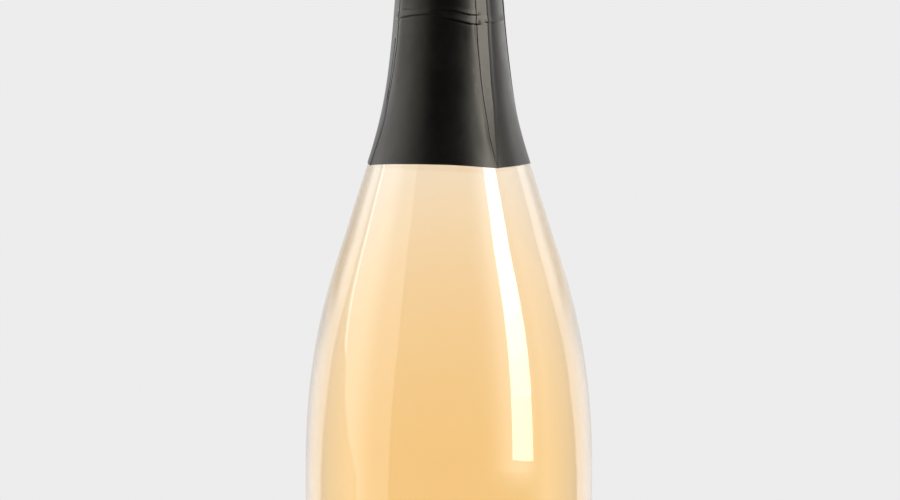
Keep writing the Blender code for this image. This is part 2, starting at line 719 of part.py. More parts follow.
def make_tear_strip(foil):
    high = TEAR_STRIP_Z + TEAR_STRIP_HEIGHT
    outline = sleeve_outline(TEAR_STRIP_Z, high)
    return turned("capsule_tear_strip", outline, CAPSULE_SIDES, foil, closed=True)


def make_hood(foil):
    """The sleeve over cork and cage, whose upper edge is turned in over the top disc."""
    shoulder_z = CAPSULE_TOP_Z - HOOD_ROUND
    outer, inner = cone_radius(shoulder_z), cone_radius(shoulder_z) - FOIL_THICKNESS
    centre = (outer - HOOD_ROUND, shoulder_z)
    flange_radius = outer - HOOD_FLANGE_WIDTH
    foot = sleeve_outline(HOOD_Z, shoulder_z)
    outline = [(flange_radius, CAPSULE_TOP_Z)]
    outline += arc(centre, HOOD_ROUND, 90, 0, 3) + foot[1:3] + [(inner, shoulder_z)]
    outline += arc(centre, HOOD_ROUND - FOIL_THICKNESS, 0, 90, 3)[1:]
    outline += [(flange_radius, CAPSULE_TOP_Z - FOIL_THICKNESS)]
    return turned("capsule_hood", outline, CAPSULE_SIDES, foil, closed=True)


def make_top_disc(foil):
    radius = cone_radius(DISC_Z) - FOIL_THICKNESS - HOOD_ROUND
    top = DISC_Z + FOIL_THICKNESS
    outline = [(0.0, top), (radius, top), (radius, DISC_Z), (0.0, DISC_Z)]
    return turned("capsule_top_disc", outline, CAPSULE_SIDES, foil)


def tab_hinge():
    """Where the pull tab folds, just outside the tear strip."""
    middle_z = TEAR_STRIP_Z + TEAR_STRIP_HEIGHT / 2
    radius = cone_radius(middle_z) + GAP + FOIL_THICKNESS / 2
    return at_azimuth(radius, middle_z, math.radians(TAB_AZIMUTH_DEG))


def make_pull_tab(foil):
    """The tab follows the strip, a gap outside it, and its free end is rounded."""
    root = math.radians(TAB_AZIMUTH_DEG)
    low, high = TEAR_STRIP_Z + TAB_MARGIN, TEAR_STRIP_Z + TEAR_STRIP_HEIGHT - TAB_MARGIN
    radius = cone_radius(low)
    places = [(0.0, 0.0)]
    places += [(TAB_LENGTH / 3, 0.0), (TAB_LENGTH * 2 / 3, 0.0), (TAB_LENGTH - TAB_END_ROUND, 0.0)]
    places += [(TAB_LENGTH, TAB_END_ROUND)]
    bm = bmesh.new()
    rings = []
    for place, inset in places:
        azimuth = root + place / radius
        ring = []
        for height, inside in ((low + inset, True), (low + inset, False),
                               (high - inset, False), (high - inset, True)):
            out = cone_radius(height) + GAP + (0.0 if inside else FOIL_THICKNESS)
            ring.append(bm.verts.new(at_azimuth(out, height, azimuth)))
        rings.append(ring)
    for ring, following in zip(rings, rings[1:]):
        for index in range(4):
            after = (index + 1) % 4
            bm.faces.new((ring[index], ring[after], following[after], following[index]))
    bm.faces.new(rings[0][::-1])
    bm.faces.new(rings[-1])
    hinge = tab_hinge()
    bmesh.ops.translate(bm, vec=-hinge, verts=bm.verts[:])
    tab = finished("pull_tab", bm, foil)
    tab.location = hinge
    bpy.context.view_layer.update()
    return tab


def black_foil(name):
    return principled(name, (0.018, 0.017, 0.016), 0.42, metallic=0.6)


def main():
    for leftover in list(bpy.data.objects):
        bpy.data.objects.remove(leftover, do_unlink=True)
    make_bottle()
    make_wine()
    make_skirt(black_foil("skirt_foil"))
    lip = Vector((0.0, 0.0, LIP_Z))
    cork_axis = parent_empty("cork_axis", lip)
    cage_axis = parent_empty("cage_axis", Vector((0.0, 0.0, CAGE_SEAT_Z)), cork_axis)
    strip_axis = parent_empty("strip_axis", Vector((0.0, 0.0, TEAR_STRIP_Z)), cage_axis)
    hood_axis = parent_empty("hood_axis", Vector((0.0, 0.0, HOOD_Z)), strip_axis)
    tab_axis = parent_empty("tab_axis", tab_hinge(), strip_axis)
    carried_by(cork_axis, *make_cork())
    carried_by(cage_axis, make_metal_cap(), make_cage_wire(), make_belt_wire())
    carried_by(strip_axis, make_tear_strip(black_foil("strip_foil")))
    carried_by(hood_axis, make_hood(black_foil("hood_foil")))
    carried_by(hood_axis, make_top_disc(black_foil("disc_foil")))
    carried_by(tab_axis, make_pull_tab(black_foil("tab_foil")))


main()
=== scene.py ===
import math
import bpy
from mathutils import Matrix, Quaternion, Vector, noise
from mathutils.geometry import interpolate_bezier


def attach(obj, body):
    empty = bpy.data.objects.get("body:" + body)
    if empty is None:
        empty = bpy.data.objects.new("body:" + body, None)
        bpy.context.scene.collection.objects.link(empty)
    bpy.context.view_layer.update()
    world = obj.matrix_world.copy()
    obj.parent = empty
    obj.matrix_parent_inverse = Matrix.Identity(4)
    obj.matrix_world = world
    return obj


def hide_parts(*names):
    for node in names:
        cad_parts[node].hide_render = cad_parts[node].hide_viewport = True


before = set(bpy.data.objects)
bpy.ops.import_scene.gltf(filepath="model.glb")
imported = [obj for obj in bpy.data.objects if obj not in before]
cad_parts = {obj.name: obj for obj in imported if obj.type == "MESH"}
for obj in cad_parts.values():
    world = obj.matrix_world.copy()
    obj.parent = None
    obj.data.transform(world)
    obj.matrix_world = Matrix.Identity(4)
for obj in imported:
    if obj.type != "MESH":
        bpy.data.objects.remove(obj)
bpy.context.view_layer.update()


def deselectAll():
    if bpy.context.object and bpy.context.object.mode != "OBJECT":
        bpy.ops.object.mode_set(mode="OBJECT")
    bpy.ops.object.select_all(action="DESELECT")


def currentPiece(name):
    piece = bpy.context.object
    piece.name = piece.data.name = name
    return piece


def linkObject(name, data):
    thing = bpy.data.objects.new(name, data)
    bpy.context.collection.objects.link(thing)
    return thing


def mergeDoubles():
    bpy.ops.mesh.select_all(action="SELECT")
    bpy.ops.mesh.remove_doubles(threshold=0.000004)


def straightPoints(start, end, steps, first=0):
    # evenly spaced, without the end itself
    (x0, y0), (x1, y1) = start, end
    return [(x0 + (x1 - x0) * i / steps, y0 + (y1 - y0) * i / steps) for i in range(first, steps)]


def arcPoints(centre, radius, startDeg, endDeg, steps):
    angles = [math.radians(startDeg + (endDeg - startDeg) * i / steps) for i in range(steps + 1)]
    return [(centre[0] + radius * math.cos(a), centre[1] + radius * math.sin(a)) for a in angles]


def bezierPoints(start, startHandle, endHandle, end, steps):
    knots = [Vector(p) for p in (start, startHandle, endHandle, end)]
    return [tuple(p) for p in interpolate_bezier(*knots, steps + 1)]


def risingCurve(start, end, startDeg, endDeg, shares, steps):
    # leans inwards by the two angles at its ends
    rise = end[1] - start[1]
    first, last = rise * shares[0], rise * shares[1]
    startHandle = (start[0] - first * math.tan(math.radians(startDeg)), start[1] + first)
    endHandle = (end[0] + last * math.tan(math.radians(endDeg)), end[1] - last)
    return bezierPoints(start, startHandle, endHandle, end, steps)


def offsetLeft(points, distance):
    moved = []
    for i, point in enumerate(points):
        before, after = points[max(i - 1, 0)], points[min(i + 1, len(points) - 1)]
        along = (Vector(after) - Vector(before)).normalized()
        moved.append((point[0] - along.y * distance, point[1] + along.x * distance))
    moved[0] = (0.0, points[0][1] + distance)
    return moved


def between(table, x):
    # straight lines between the rows of a table
    for (x0, y0), (x1, y1) in zip(table, table[1:]):
        if x0 <= x <= x1:
            return y0 + (y1 - y0) * (x - x0) / (x1 - x0)
    return table[0][1] if x < table[0][0] else table[-1][1]


def smoothStep(low, high, x):
    share = min(max((x - low) / (high - low), 0.0), 1.0)
    return share * share * (3 - 2 * share)


def bell(x, width):
    return math.exp(-(x / width) ** 2)


def beadLift(beads, radius, width):
    return sum(height * bell(radius - place, width) for place, height in beads)


def softNoise(azimuth, z, around, along, shift=0):
    return noise.noise(Vector((math.sin(azimuth) * around, math.cos(azimuth) * around, z * along + shift)))


def atAzimuth(radius, azimuth, z):
    return Vector((radius * math.sin(azimuth), -radius * math.cos(azimuth), z))


def finishPiece(piece, body, material, node):
    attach(piece, body)
    piece.data.materials.clear()
    piece.data.materials.append(material)
    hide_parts(node)


def turnedPiece(name, outline, steps, sharpDeg=40):
    # one vertex is pulled along the outline, and the line is spun round the bottle's axis
    deselectAll()
    bpy.ops.mesh.primitive_plane_add(size=0.001, location=(outline[0][0], 0, outline[0][1]))
    piece = currentPiece(name)
    bpy.ops.object.mode_set(mode="EDIT")
    bpy.ops.mesh.select_mode(type="VERT")
    bpy.ops.mesh.select_all(action="SELECT")
    bpy.ops.mesh.merge(type="CENTER")
    for (r0, z0), (r1, z1) in zip(outline, outline[1:]):
        bpy.ops.mesh.extrude_region_move(TRANSFORM_OT_translate={"value": (r1 - r0, 0, z1 - z0)})
    mergeDoubles()
    bpy.ops.mesh.spin(steps=steps, angle=math.tau, center=(0, 0, 0), axis=(0, 0, 1))
    mergeDoubles()
    bpy.ops.mesh.normals_make_consistent(inside=False)
    bpy.ops.object.mode_set(mode="OBJECT")
    bpy.ops.object.transform_apply(location=True, rotation=True, scale=True)
    bpy.ops.object.shade_smooth_by_angle(angle=math.radians(sharpDeg))
    return piece


def wrappedSheet(name, columns, rows, place, thickness, closed=True):
    # a flat grid is wrapped round the bottle, its seam is closed and it gets its thickness
    deselectAll()
    bpy.ops.mesh.primitive_grid_add(x_subdivisions=columns, y_subdivisions=rows, size=1)
    piece = currentPiece(name)
    wear = piece.data.attributes.new("foldWear", "FLOAT", "POINT")
    polish = piece.data.attributes.new("foldPolish", "FLOAT", "POINT")
    for i, vertex in enumerate(piece.data.vertices):
        column = round((vertex.co.x + 0.5) * columns)
        row = round((vertex.co.y + 0.5) * rows)
        vertex.co, wear.data[i].value, polish.data[i].value = place(column, row)
    if closed:
        bpy.ops.object.mode_set(mode="EDIT")
        mergeDoubles()
        bpy.ops.object.mode_set(mode="OBJECT")
    wall = piece.modifiers.new("wall", "SOLIDIFY")
    wall.thickness = thickness
    wall.offset = -1
    bpy.ops.object.modifier_apply(modifier=wall.name)
    bpy.ops.object.shade_smooth_by_angle(angle=math.radians(50))
    return piece


def feed(node, socket, source):
    # here and below, a source is a constant or a (node, output) pair
    if isinstance(source, tuple) and isinstance(source[0], bpy.types.Node):
        node.id_data.links.new(source[0].outputs[source[1]], node.inputs[socket])
    else:
        node.inputs[socket].default_value = source


def addNode(tree, kind, sources=None, **settings):
    node = tree.nodes.new(kind)
    for key, value in settings.items():
        setattr(node, key, value)
    for socket, source in (sources or {}).items():
        feed(node, socket, source)
    return node


def mathNode(tree, operation, *sources, **settings):
    node = addNode(tree, "ShaderNodeMath", dict(enumerate(sources)), operation=operation, **settings)
    return node, "Value"


def chain(tree, operation, first, *others):
    for other in others:
        first = mathNode(tree, operation, first, other)
    return first


def rangeNode(tree, source, fromMin, fromMax, toMin=0.0, toMax=1.0, smooth=True, clamp=True):
    kind = "SMOOTHSTEP" if smooth else "LINEAR"
    sources = {"Value": source, "From Min": fromMin, "From Max": fromMax, "To Min": toMin, "To Max": toMax}
    return addNode(tree, "ShaderNodeMapRange", sources, interpolation_type=kind, clamp=clamp), "Result"


def mixNode(tree, kind, factor, a, b):
    return addNode(tree, "ShaderNodeMix", {"Factor": factor, "A": a, "B": b}, data_type=kind), "Result"


def tableNode(tree, source, table):
    # straight lines between the rows of a table of heights and angles in degrees
    low, high, most = table[0][0], table[-1][0], 180.0
    ramp = addNode(tree, "ShaderNodeValToRGB", {"Fac": rangeNode(tree, source, low, high, smooth=False)})
    stops = ramp.color_ramp.elements
    while len(stops) < len(table):
        stops.new(0.5)
    for stop, (x, _) in zip(stops, table):
        stop.position = (x - low) / (high - low)
    for stop, (_, angle) in zip(stops, table):
        stop.color = (angle / most,) * 3 + (1,)
    return mathNode(tree, "MULTIPLY", (ramp, "Color"), most)


def splitVector(tree, source):
    parts = addNode(tree, "ShaderNodeSeparateXYZ", {"Vector": source})
    return (parts, "X"), (parts, "Y"), (parts, "Z")


def attributeNode(tree, name):
    return addNode(tree, "ShaderNodeAttribute", attribute_name=name), "Fac"


def startMaterial(name, sources):
    material = bpy.data.materials.new(name)
    material.use_nodes = True
    tree = material.node_tree
    shader = tree.nodes["Principled BSDF"]
    for socket, source in sources.items():
        feed(shader, socket, source)
    return material, tree, shader, (addNode(tree, "ShaderNodeTexCoord"), "Object")


def startGroup(name, inputs, output):
    group = bpy.data.node_groups.new(name, "ShaderNodeTree")
    for label, value in inputs.items():
        kind = "NodeSocketFloat" if isinstance(value, float) else "NodeSocketVector"
        socket = group.interface.new_socket(name=label, in_out="INPUT", socket_type=kind)
        socket.default_value = value
    group.interface.new_socket(name=output, in_out="OUTPUT", socket_type="NodeSocketFloat")
    return group, group.nodes.new("NodeGroupInput"), group.nodes.new("NodeGroupOutput")


def makeMottleGroup():
    # soft uneven patches, given back as a value between Low and High
    inputs = {"Vector": (0.0, 0.0, 0.0), "Scale": 100.0, "Detail": 3.0, "Low": 0.0, "High": 1.0}
    group, start, end = startGroup("softMottle", inputs, "Value")
    sources = {name: (start, name) for name in ("Vector", "Scale", "Detail")}
    patches = addNode(group, "ShaderNodeTexNoise", {**sources, "Roughness": 0.55})
    spread = rangeNode(group, (patches, "Fac"), 0.32, 0.68, (start, "Low"), (start, "High"), smooth=False)
    feed(end, "Value", spread)
    return group


def makeScratchGroup():
    # thin drawn lines: a noise that is stretched along one way and cut to its peaks
    inputs = {"Vector": (0.0, 0.0, 0.0), "Stretch": (1.0, 1.0, 0.1), "Scale": 900.0, "Share": 0.6}
    group, start, end = startGroup("fineScratches", inputs, "Mask")
    sources = {0: (start, "Vector"), 1: (start, "Stretch")}
    stretch = addNode(group, "ShaderNodeVectorMath", sources, operation="MULTIPLY")
    sources = {"Vector": (stretch, "Vector"), "Scale": (start, "Scale"), "Detail": 2.0, "Roughness": 0.5}
    lines = addNode(group, "ShaderNodeTexNoise", sources)
    feed(end, "Mask", rangeNode(group, (lines, "Fac"), (start, "Share"), 0.8))
    return group


softMottle = makeMottleGroup()
fineScratches = makeScratchGroup()


def placeGroup(tree, group, place, sources=None):
    node = addNode(tree, "ShaderNodeGroup", node_tree=group)
    for socket, source in {"Vector": place, **(sources or {})}.items():
        feed(node, socket, source)
    return node, node.outputs[0].name


def addBump(tree, shader, height, strength, distance, below=None):
    bump = addNode(tree, "ShaderNodeBump", {"Height": height, "Strength": strength, "Distance": distance})
    if below:
        feed(bump, "Normal", below)
    feed(shader, "Normal", (bump, "Normal"))
    return bump, "Normal"


bottleSizes = {
    "bodyRadius": 0.0444,
    "bodyTop": 0.1033,
    "shoulderRise": 0.0719,
    "shoulderTurnRadius": 0.03175,
    "shoulderTurnDeg": 17.1,
    "neckRise": 0.0788,
    "neckRadius": 0.01595,
    "neckTaperDeg": 4.35,
    "upperNeckRise": 0.0330,
    "neckTopRadius": 0.0148,
    "shoulderShares": (0.528, 0.157),
    "neckShares": (0.43, 0.598),
    "upperShares": (0.33, 0.33),
    "heelRadius": 0.0100,
    "bearingRing": 0.0030,
    "puntDepth": 0.0350,
    "puntEdgeShares": (0.12, 0.50),
    "puntTopShare": 0.42,
    "puntSteps": 26,
    "puntThickness": 0.0070,
    "baseThickness": 0.0085,
    "innerHeel": 0.0042,
    "bodyWall": 0.0042,
    "shoulderWall": 0.0044,
    "neckWall": 0.0053,
    "boreRadius": 0.00875,
    "boreLength": 0.0300,
    "boreEdge": 0.0008,
    "finishRise": 0.0180,
    "beadRadius": 0.0143,
    "beadHeight": 0.0048,
    "beadRound": 0.0017,
    "grooveRadius": 0.0131,
    "grooveEdge": 0.0003,
    "beadUnder": 0.0002,
    "ringRadius": 0.0169,
    "ringHeight": 0.0078,
    "ringUpperRound": 0.0022,
    "ringLowerRound": 0.0009,
    "steps": 192,
}
turnZ = bottleSizes["bodyTop"] + bottleSizes["shoulderRise"]
neckZ = turnZ + bottleSizes["neckRise"]
ringZ = neckZ + bottleSizes["upperNeckRise"]
lipZ = ringZ + bottleSizes["finishRise"]
boreEndZ = lipZ - bottleSizes["boreLength"]


def wallLine(bodyRadius, turnRadius, neckRadius, top):
    v = bottleSizes
    turn, neck = (turnRadius, turnZ), (neckRadius, neckZ)
    turnDeg, taperDeg = v["shoulderTurnDeg"], v["neckTaperDeg"]
    shoulder = risingCurve((bodyRadius, v["bodyTop"]), turn, 0, turnDeg, v["shoulderShares"], 30)
    curve = risingCurve(turn, neck, turnDeg, taperDeg, v["neckShares"], 30)
    upper = risingCurve(neck, top, taperDeg, 0, v["upperShares"], 12)
    return shoulder + curve[1:] + upper[1:]


def outerWall():
    v = bottleSizes
    return wallLine(v["bodyRadius"], v["shoulderTurnRadius"], v["neckRadius"], (v["neckTopRadius"], ringZ))


def innerWall():
    v = bottleSizes
    return wallLine(
        v["bodyRadius"] - v["bodyWall"],
        v["shoulderTurnRadius"] - v["shoulderWall"],
        v["neckRadius"] - v["neckWall"],
        (v["boreRadius"], boreEndZ),
    )


def puntLine():
    v = bottleSizes
    edge = v["bodyRadius"] - v["heelRadius"] - v["bearingRing"]
    inwards, upwards = v["puntEdgeShares"]
    return bezierPoints(
        (edge, 0.0),
        (edge * (1 - inwards), v["puntDepth"] * upwards),
        (edge * v["puntTopShare"], v["puntDepth"]),
        (0.0, v["puntDepth"]),
        v["puntSteps"],
    )


def innerBase():
    v = bottleSizes
    corner = (v["bodyRadius"] - v["bodyWall"] - v["innerHeel"], v["baseThickness"] + v["innerHeel"])
    channel = arcPoints(corner, v["innerHeel"], -150, 0, 14)
    dome = offsetLeft(puntLine()[::-1], v["puntThickness"])
    reach = channel[0][0] - v["innerHeel"] / 2
    return [p for p in dome if p[0] < reach and p[1] > channel[0][1]] + channel


def finishLine():
    v = bottleSizes
    ringTop, beadFoot = ringZ + v["ringHeight"], lipZ - v["beadHeight"]
    lower = (v["ringRadius"] - v["ringLowerRound"], ringZ + v["ringLowerRound"])
    upper = (v["ringRadius"] - v["ringUpperRound"], ringTop - v["ringUpperRound"])
    bead = (v["beadRadius"] - v["beadRound"], lipZ - v["beadRound"])
    mouth = (v["boreRadius"] + v["boreEdge"], lipZ - v["boreEdge"])
    groove, edge = v["grooveRadius"], v["grooveEdge"]
    points = arcPoints(lower, v["ringLowerRound"], -90, 0, 6)
    points += arcPoints(upper, v["ringUpperRound"], 0, 90, 8)
    points += [(groove + edge, ringTop), (groove, ringTop + edge), (groove, beadFoot - edge)]
    points += [(groove + v["beadUnder"], beadFoot), (v["beadRadius"], beadFoot + v["beadRadius"] - groove)]
    points += arcPoints(bead, v["beadRound"], 0, 90, 8)
    return points + arcPoints(mouth, v["boreEdge"], 90, 180, 5)


outerLine = [(z, r) for r, z in outerWall()]


def glassRadius(z):
    return between(outerLine, z)


glassLook = {
    "clear": (0.985, 0.978, 0.972, 1),
    "edge": (0.125, 0.105, 0.10, 1),          # painted shade: dark and faintly pink, towards the silhouette
    "shadeFacing": (0.28, 0.78),
    "shoulder": (0.143, 0.166, 1.0, 0.55),    # two heights, and the share of the painted edge shade there
    "wavesScale": 26.0,
    "wavesHeight": 0.0004,
    "stippleScale": 900.0,
    "stippleHeight": 0.0003,
    "stippleEnds": (0.0009, 0.0003),          # only in the lowest millimetre
}


def makeGlassMaterial():
    v = glassLook
    values = {"Roughness": 0.0, "IOR": 1.5, "Transmission Weight": 1.0}
    material, tree, shader, place = startMaterial("clearBottleGlass", values)
    waves = placeGroup(tree, softMottle, place, {"Scale": v["wavesScale"], "Detail": 1.0})
    ripple = addBump(tree, shader, waves, 0.05, v["wavesHeight"])
    grip = addNode(tree, "ShaderNodeTexVoronoi", {"Vector": place, "Scale": v["stippleScale"]})
    height = splitVector(tree, place)[2]
    low = rangeNode(tree, height, *v["stippleEnds"], smooth=False)
    stipples = mathNode(tree, "MULTIPLY", (grip, "Distance"), low)
    addBump(tree, shader, stipples, 0.6, v["stippleHeight"], below=ripple)
    # handling marks change how clear the surface is, only a little
    marks = placeGroup(tree, softMottle, place, {"Scale": 60.0, "Detail": 5.0, "Low": 0.0, "High": 0.01})
    feed(shader, "Roughness", marks)
    # painted shade: towards the silhouette the glass turns to the dark edge colour, fully on the body and
    # about half on the shoulder
    facing = addNode(tree, "ShaderNodeLayerWeight", {"Blend": 0.5})
    edge = rangeNode(tree, (facing, "Facing"), *v["shadeFacing"], smooth=False)
    edge = mathNode(tree, "MULTIPLY", edge, rangeNode(tree, height, *v["shoulder"]))
    feed(shader, "Base Color", mixNode(tree, "RGBA", edge, v["clear"], v["edge"]))
    return material


wineValues = {
    "fillDepth": 0.0800,
    "overlap": 0.00012,      # the wine reaches this far into the glass, so that no air shows
    "baseHeight": 0.03,      # above this the inner wall has one radius at each height
    "meniscus": 0.0009,
    "surfaceShares": (0.985, 0.965, 0.94, 0.90, 0.84, 0.75, 0.6, 0.3),
    "colour": (1.0, 0.80, 0.427, 1),
    "density": 22.0,
    "depthShadeHeights": (0.107, 0.192),   # painted shade: tinted deeper in the body, paler in the neck
    "deepGreen": 0.90,
    "deepBlue": 0.61,
    "glowColour": (0.92, 0.95, 1.0, 1),
    "glow": 0.52,
}


def makeWineMaterial():
    v = wineValues
    values = {"Base Color": (1.0, 1.0, 1.0, 1), "Roughness": 0.0, "IOR": 1.34, "Transmission Weight": 1.0}
    material, tree, shader, place = startMaterial("peachWine", values)
    depth = addNode(tree, "ShaderNodeVolumeAbsorption", {"Color": v["colour"], "Density": v["density"]})
    feed(tree.nodes["Material Output"], "Volume", (depth, "Volume"))
    stir = placeGroup(tree, softMottle, place, {"Scale": 40.0, "Detail": 2.0, "Low": 0.985, "High": 1.0})
    height = splitVector(tree, place)[2]
    # painted shade: the tint deepens from the neck down into the body, on top of the wine's absorption; the
    # faint stir mottle is uneven tone
    tint = addNode(tree, "ShaderNodeCombineColor", {"Red": 1.0})
    for channel, low in (("Green", v["deepGreen"]), ("Blue", v["deepBlue"])):
        deep = rangeNode(tree, height, *v["depthShadeHeights"], low, 1.0, smooth=False)
        feed(tint, channel, mathNode(tree, "MULTIPLY", deep, stir))
    feed(shader, "Base Color", (tint, "Color"))
    # light that the sloping glass throws back inwards glows along the shoulder's edges
    path = addNode(tree, "ShaderNodeLightPath")
    feed(shader, "Emission Color", v["glowColour"])
    feed(shader, "Emission Strength", mathNode(tree, "MULTIPLY", (path, "Is Reflection Ray"), v["glow"]))
    return material


def makeBottle():
    v = bottleSizes
    heel = arcPoints((v["bodyRadius"] - v["heelRadius"], v["heelRadius"]), v["heelRadius"], 0, -90, 14)
    outline = innerBase() + innerWall() + (outerWall() + finishLine())[::-1] + heel + puntLine()
    glass = turnedPiece("glassShell", outline, v["steps"])
    finishPiece(glass, "bottle", makeGlassMaterial(), "bottle")


def makeWine():
    v = wineValues
    topZ = lipZ - v["fillDepth"]
    filled = offsetLeft(innerBase() + innerWall(), -v["overlap"])
    rim = between([(z, r) for r, z in filled if z > v["baseHeight"]], topZ)
    outline = [p for p in filled if p[1] < topZ] + [(rim, topZ + v["meniscus"])]
    # the surface climbs a little where it meets the glass
    for share in v["surfaceShares"]:
        climb = v["meniscus"] * math.exp(-(1 - share) * rim / v["meniscus"])
        outline.append((rim * share, topZ + climb))
    outline.append((0.0, topZ))
    wine = turnedPiece("wineFill", outline, bottleSizes["steps"])
    finishPiece(wine, "bottle", makeWineMaterial(), "wine")


makeBottle()
makeWine()
print("bottle and wine done")


foilValues = {
    "colourDeep": (0.0012, 0.00115, 0.00105, 1),
    "colourRubbed": (0.0065, 0.0062, 0.0056, 1),
    "roughness": (0.33, 0.39),
    "discRoughness": (0.30, 0.38),
    "polishedRoughness": 0.29,
    "specularLevel": 0.25,
    "specularTint": (1.0, 0.94, 0.82, 1),
    "scratchStretch": (1.0, 1.0, 0.06),
    "scratchHeight": 0.00003,
    "rippleScale": 150.0,
    "rippleHeight": 0.0003,
}


def makeFoilMaterial(name, roughness=foilValues["roughness"]):
    v = foilValues
    values = {"Specular IOR Level": v["specularLevel"], "IOR": 1.5, "Specular Tint": v["specularTint"]}
    material, tree, shader, place = startMaterial(name, values)
    rubbed = placeGroup(tree, softMottle, place, {"Scale": 420.0, "Detail": 4.0, "Low": 0.0, "High": 0.35})
    wear = mathNode(tree, "MULTIPLY_ADD", attributeNode(tree, "foldWear"), 0.8, rubbed, use_clamp=True)
    feed(shader, "Base Color", mixNode(tree, "RGBA", wear, v["colourDeep"], v["colourRubbed"]))
    low, high = roughness
    patches = placeGroup(tree, softMottle, place, {"Scale": 95.0, "Detail": 3.0, "Low": low, "High": high})
    flaps = attributeNode(tree, "foldPolish")
    feed(shader, "Roughness", mixNode(tree, "FLOAT", flaps, patches, v["polishedRoughness"]))
    values = {"Stretch": v["scratchStretch"], "Scale": 1100.0, "Share": 0.55}
    drawn = addBump(tree, shader, placeGroup(tree, fineScratches, place, values), 0.10, v["scratchHeight"])
    ripples = placeGroup(tree, softMottle, place, {"Scale": v["rippleScale"], "Detail": 2.0})
    addBump(tree, shader, ripples, 0.10, v["rippleHeight"], below=drawn)
    return material


skirtValues = {
    "thickness": 0.00008,
    "gap": 0.00004,          # between glass and foil
    "topZ": 0.2837,
    "flare": 0.0200,         # height over which the foil leaves the neck for the cage
    "straightZ": 0.2080,     # up to here the rows follow the scalloped edge
    "middleZ": 0.2250,
    "softness": (2.2, 70, 0.00005, 0.1970),   # scales round and along, depth, height where it is full
    "edgeWear": (0.5, 0.0009),                # and how far up it reaches
    "deepest": -0.00003,     # so that the foil stays off the glass
    # heights with the number of rows up to the next, closest together at the creases
    "rows": [(0.1944, 26), (0.2080, 50), (0.2378, 44), (0.2446, 34), (0.2837, 0)],
    # lower edge of the foil, by azimuth
    "edge": [(-90, 0.1963), (-73.5, 0.1950), (-72, 0.1949), (-66, 0.19505), (-43, 0.19510), (-20, 0.19495),
             (0, 0.19472), (15, 0.19435), (26, 0.1940), (35.4, 0.19378), (37, 0.1939), (50, 0.19445),
             (70, 0.1953), (85, 0.19565), (98, 0.1956), (106, 0.1952), (125, 0.1956), (150, 0.1958),
             (175, 0.1955), (192, 0.1951), (215, 0.1956), (245, 0.1963), (270, 0.1963)],
}
# each pleat: the side its flap lies to, one layer of foil, how flat the flap is, the panel's step after it,
# then by height the azimuth of its free edge, the flap's width and how far the panel swells beside it (mm)
skirtPleats = [
    {"way": 1, "tiltDeg": 2.0, "layer": 0.00010, "flat": 1.0, "polish": 1.0, "panelStepDeg": 1.7,
     "free": [(0.1940, 35.2), (0.1983, 33.9), (0.2026, 33.2), (0.2076, 32.8), (0.2107, 32.6), (0.2153, 31.6),
              (0.2215, 30.7), (0.2265, 30.2), (0.2324, 29.4), (0.2401, 29.5), (0.2463, 28.9), (0.2600, 28.0),
              (0.2837, 27.5)],
     "width": [(0.1940, 0.0), (0.1952, 0.22), (0.1998, 1.15), (0.2068, 2.2), (0.2138, 3.1), (0.2300, 3.75),
               (0.2463, 3.7), (0.2600, 4.2), (0.2720, 3.0), (0.2837, 0.5)],
     "swell": [(0.1940, 0.0), (0.1990, 0.05), (0.2030, 0.12), (0.2076, 0.08), (0.2153, 0.035), (0.2265, 0.03),
               (0.2320, 0.08), (0.2370, 0.16), (0.2395, 0.06), (0.2420, 0.02), (0.2463, 0.0), (0.2837, 0.0)]},
    {"way": 1, "tiltDeg": 3.0, "layer": 0.00013, "flat": 0.9, "polish": 0.4, "panelStepDeg": 2.3,
     "free": [(0.1940, 105.0), (0.2060, 99.0), (0.2160, 95.0), (0.2277, 90.0), (0.2400, 85.5),
              (0.2463, 83.5), (0.2600, 82.0), (0.2837, 82.0)],
     "width": [(0.1940, 0.0), (0.1958, 0.5), (0.2068, 2.3), (0.2138, 3.1), (0.2300, 4.0), (0.2463, 4.3),
               (0.2600, 4.6), (0.2720, 3.0), (0.2837, 0.5)],
     "swell": [(0.1940, 0.0), (0.2100, 0.04), (0.2463, 0.08), (0.2837, 0.0)]},
    {"way": -1, "tiltDeg": 3.0, "layer": 0.00010, "flat": 0.8, "polish": 0.4, "panelStepDeg": 2.3,
     "free": [(0.1940, 192.0), (0.2837, 194.0)],
     "width": [(0.1940, 0.0), (0.1958, 0.5), (0.2068, 2.3), (0.2138, 3.3), (0.2300, 4.2), (0.2463, 4.5),
               (0.2600, 4.7), (0.2720, 3.0), (0.2837, 0.5)],
     "swell": [(0.1940, 0.0), (0.2100, 0.05), (0.2463, 0.10), (0.2837, 0.0)]},
    {"way": -1, "tiltDeg": 3.0, "layer": 0.000007, "flat": 0.25, "polish": 0.0, "panelStepDeg": 1.5,
     "free": [(0.1940, 288.8), (0.1983, 289.2), (0.2076, 293.0), (0.2153, 292.6), (0.2265, 295.0),
              (0.2324, 297.2), (0.2463, 295.8), (0.2600, 295.0), (0.2837, 294.0)],
     "width": [(0.1940, 0.0), (0.1958, 0.6), (0.2068, 2.4), (0.2138, 3.4), (0.2300, 5.2), (0.2463, 5.6),
               (0.2600, 5.4), (0.2720, 3.0), (0.2837, 0.5)],
     "swell": [(0.1940, 0.0), (0.2100, 0.02), (0.2463, 0.04), (0.2837, 0.0)]},
]
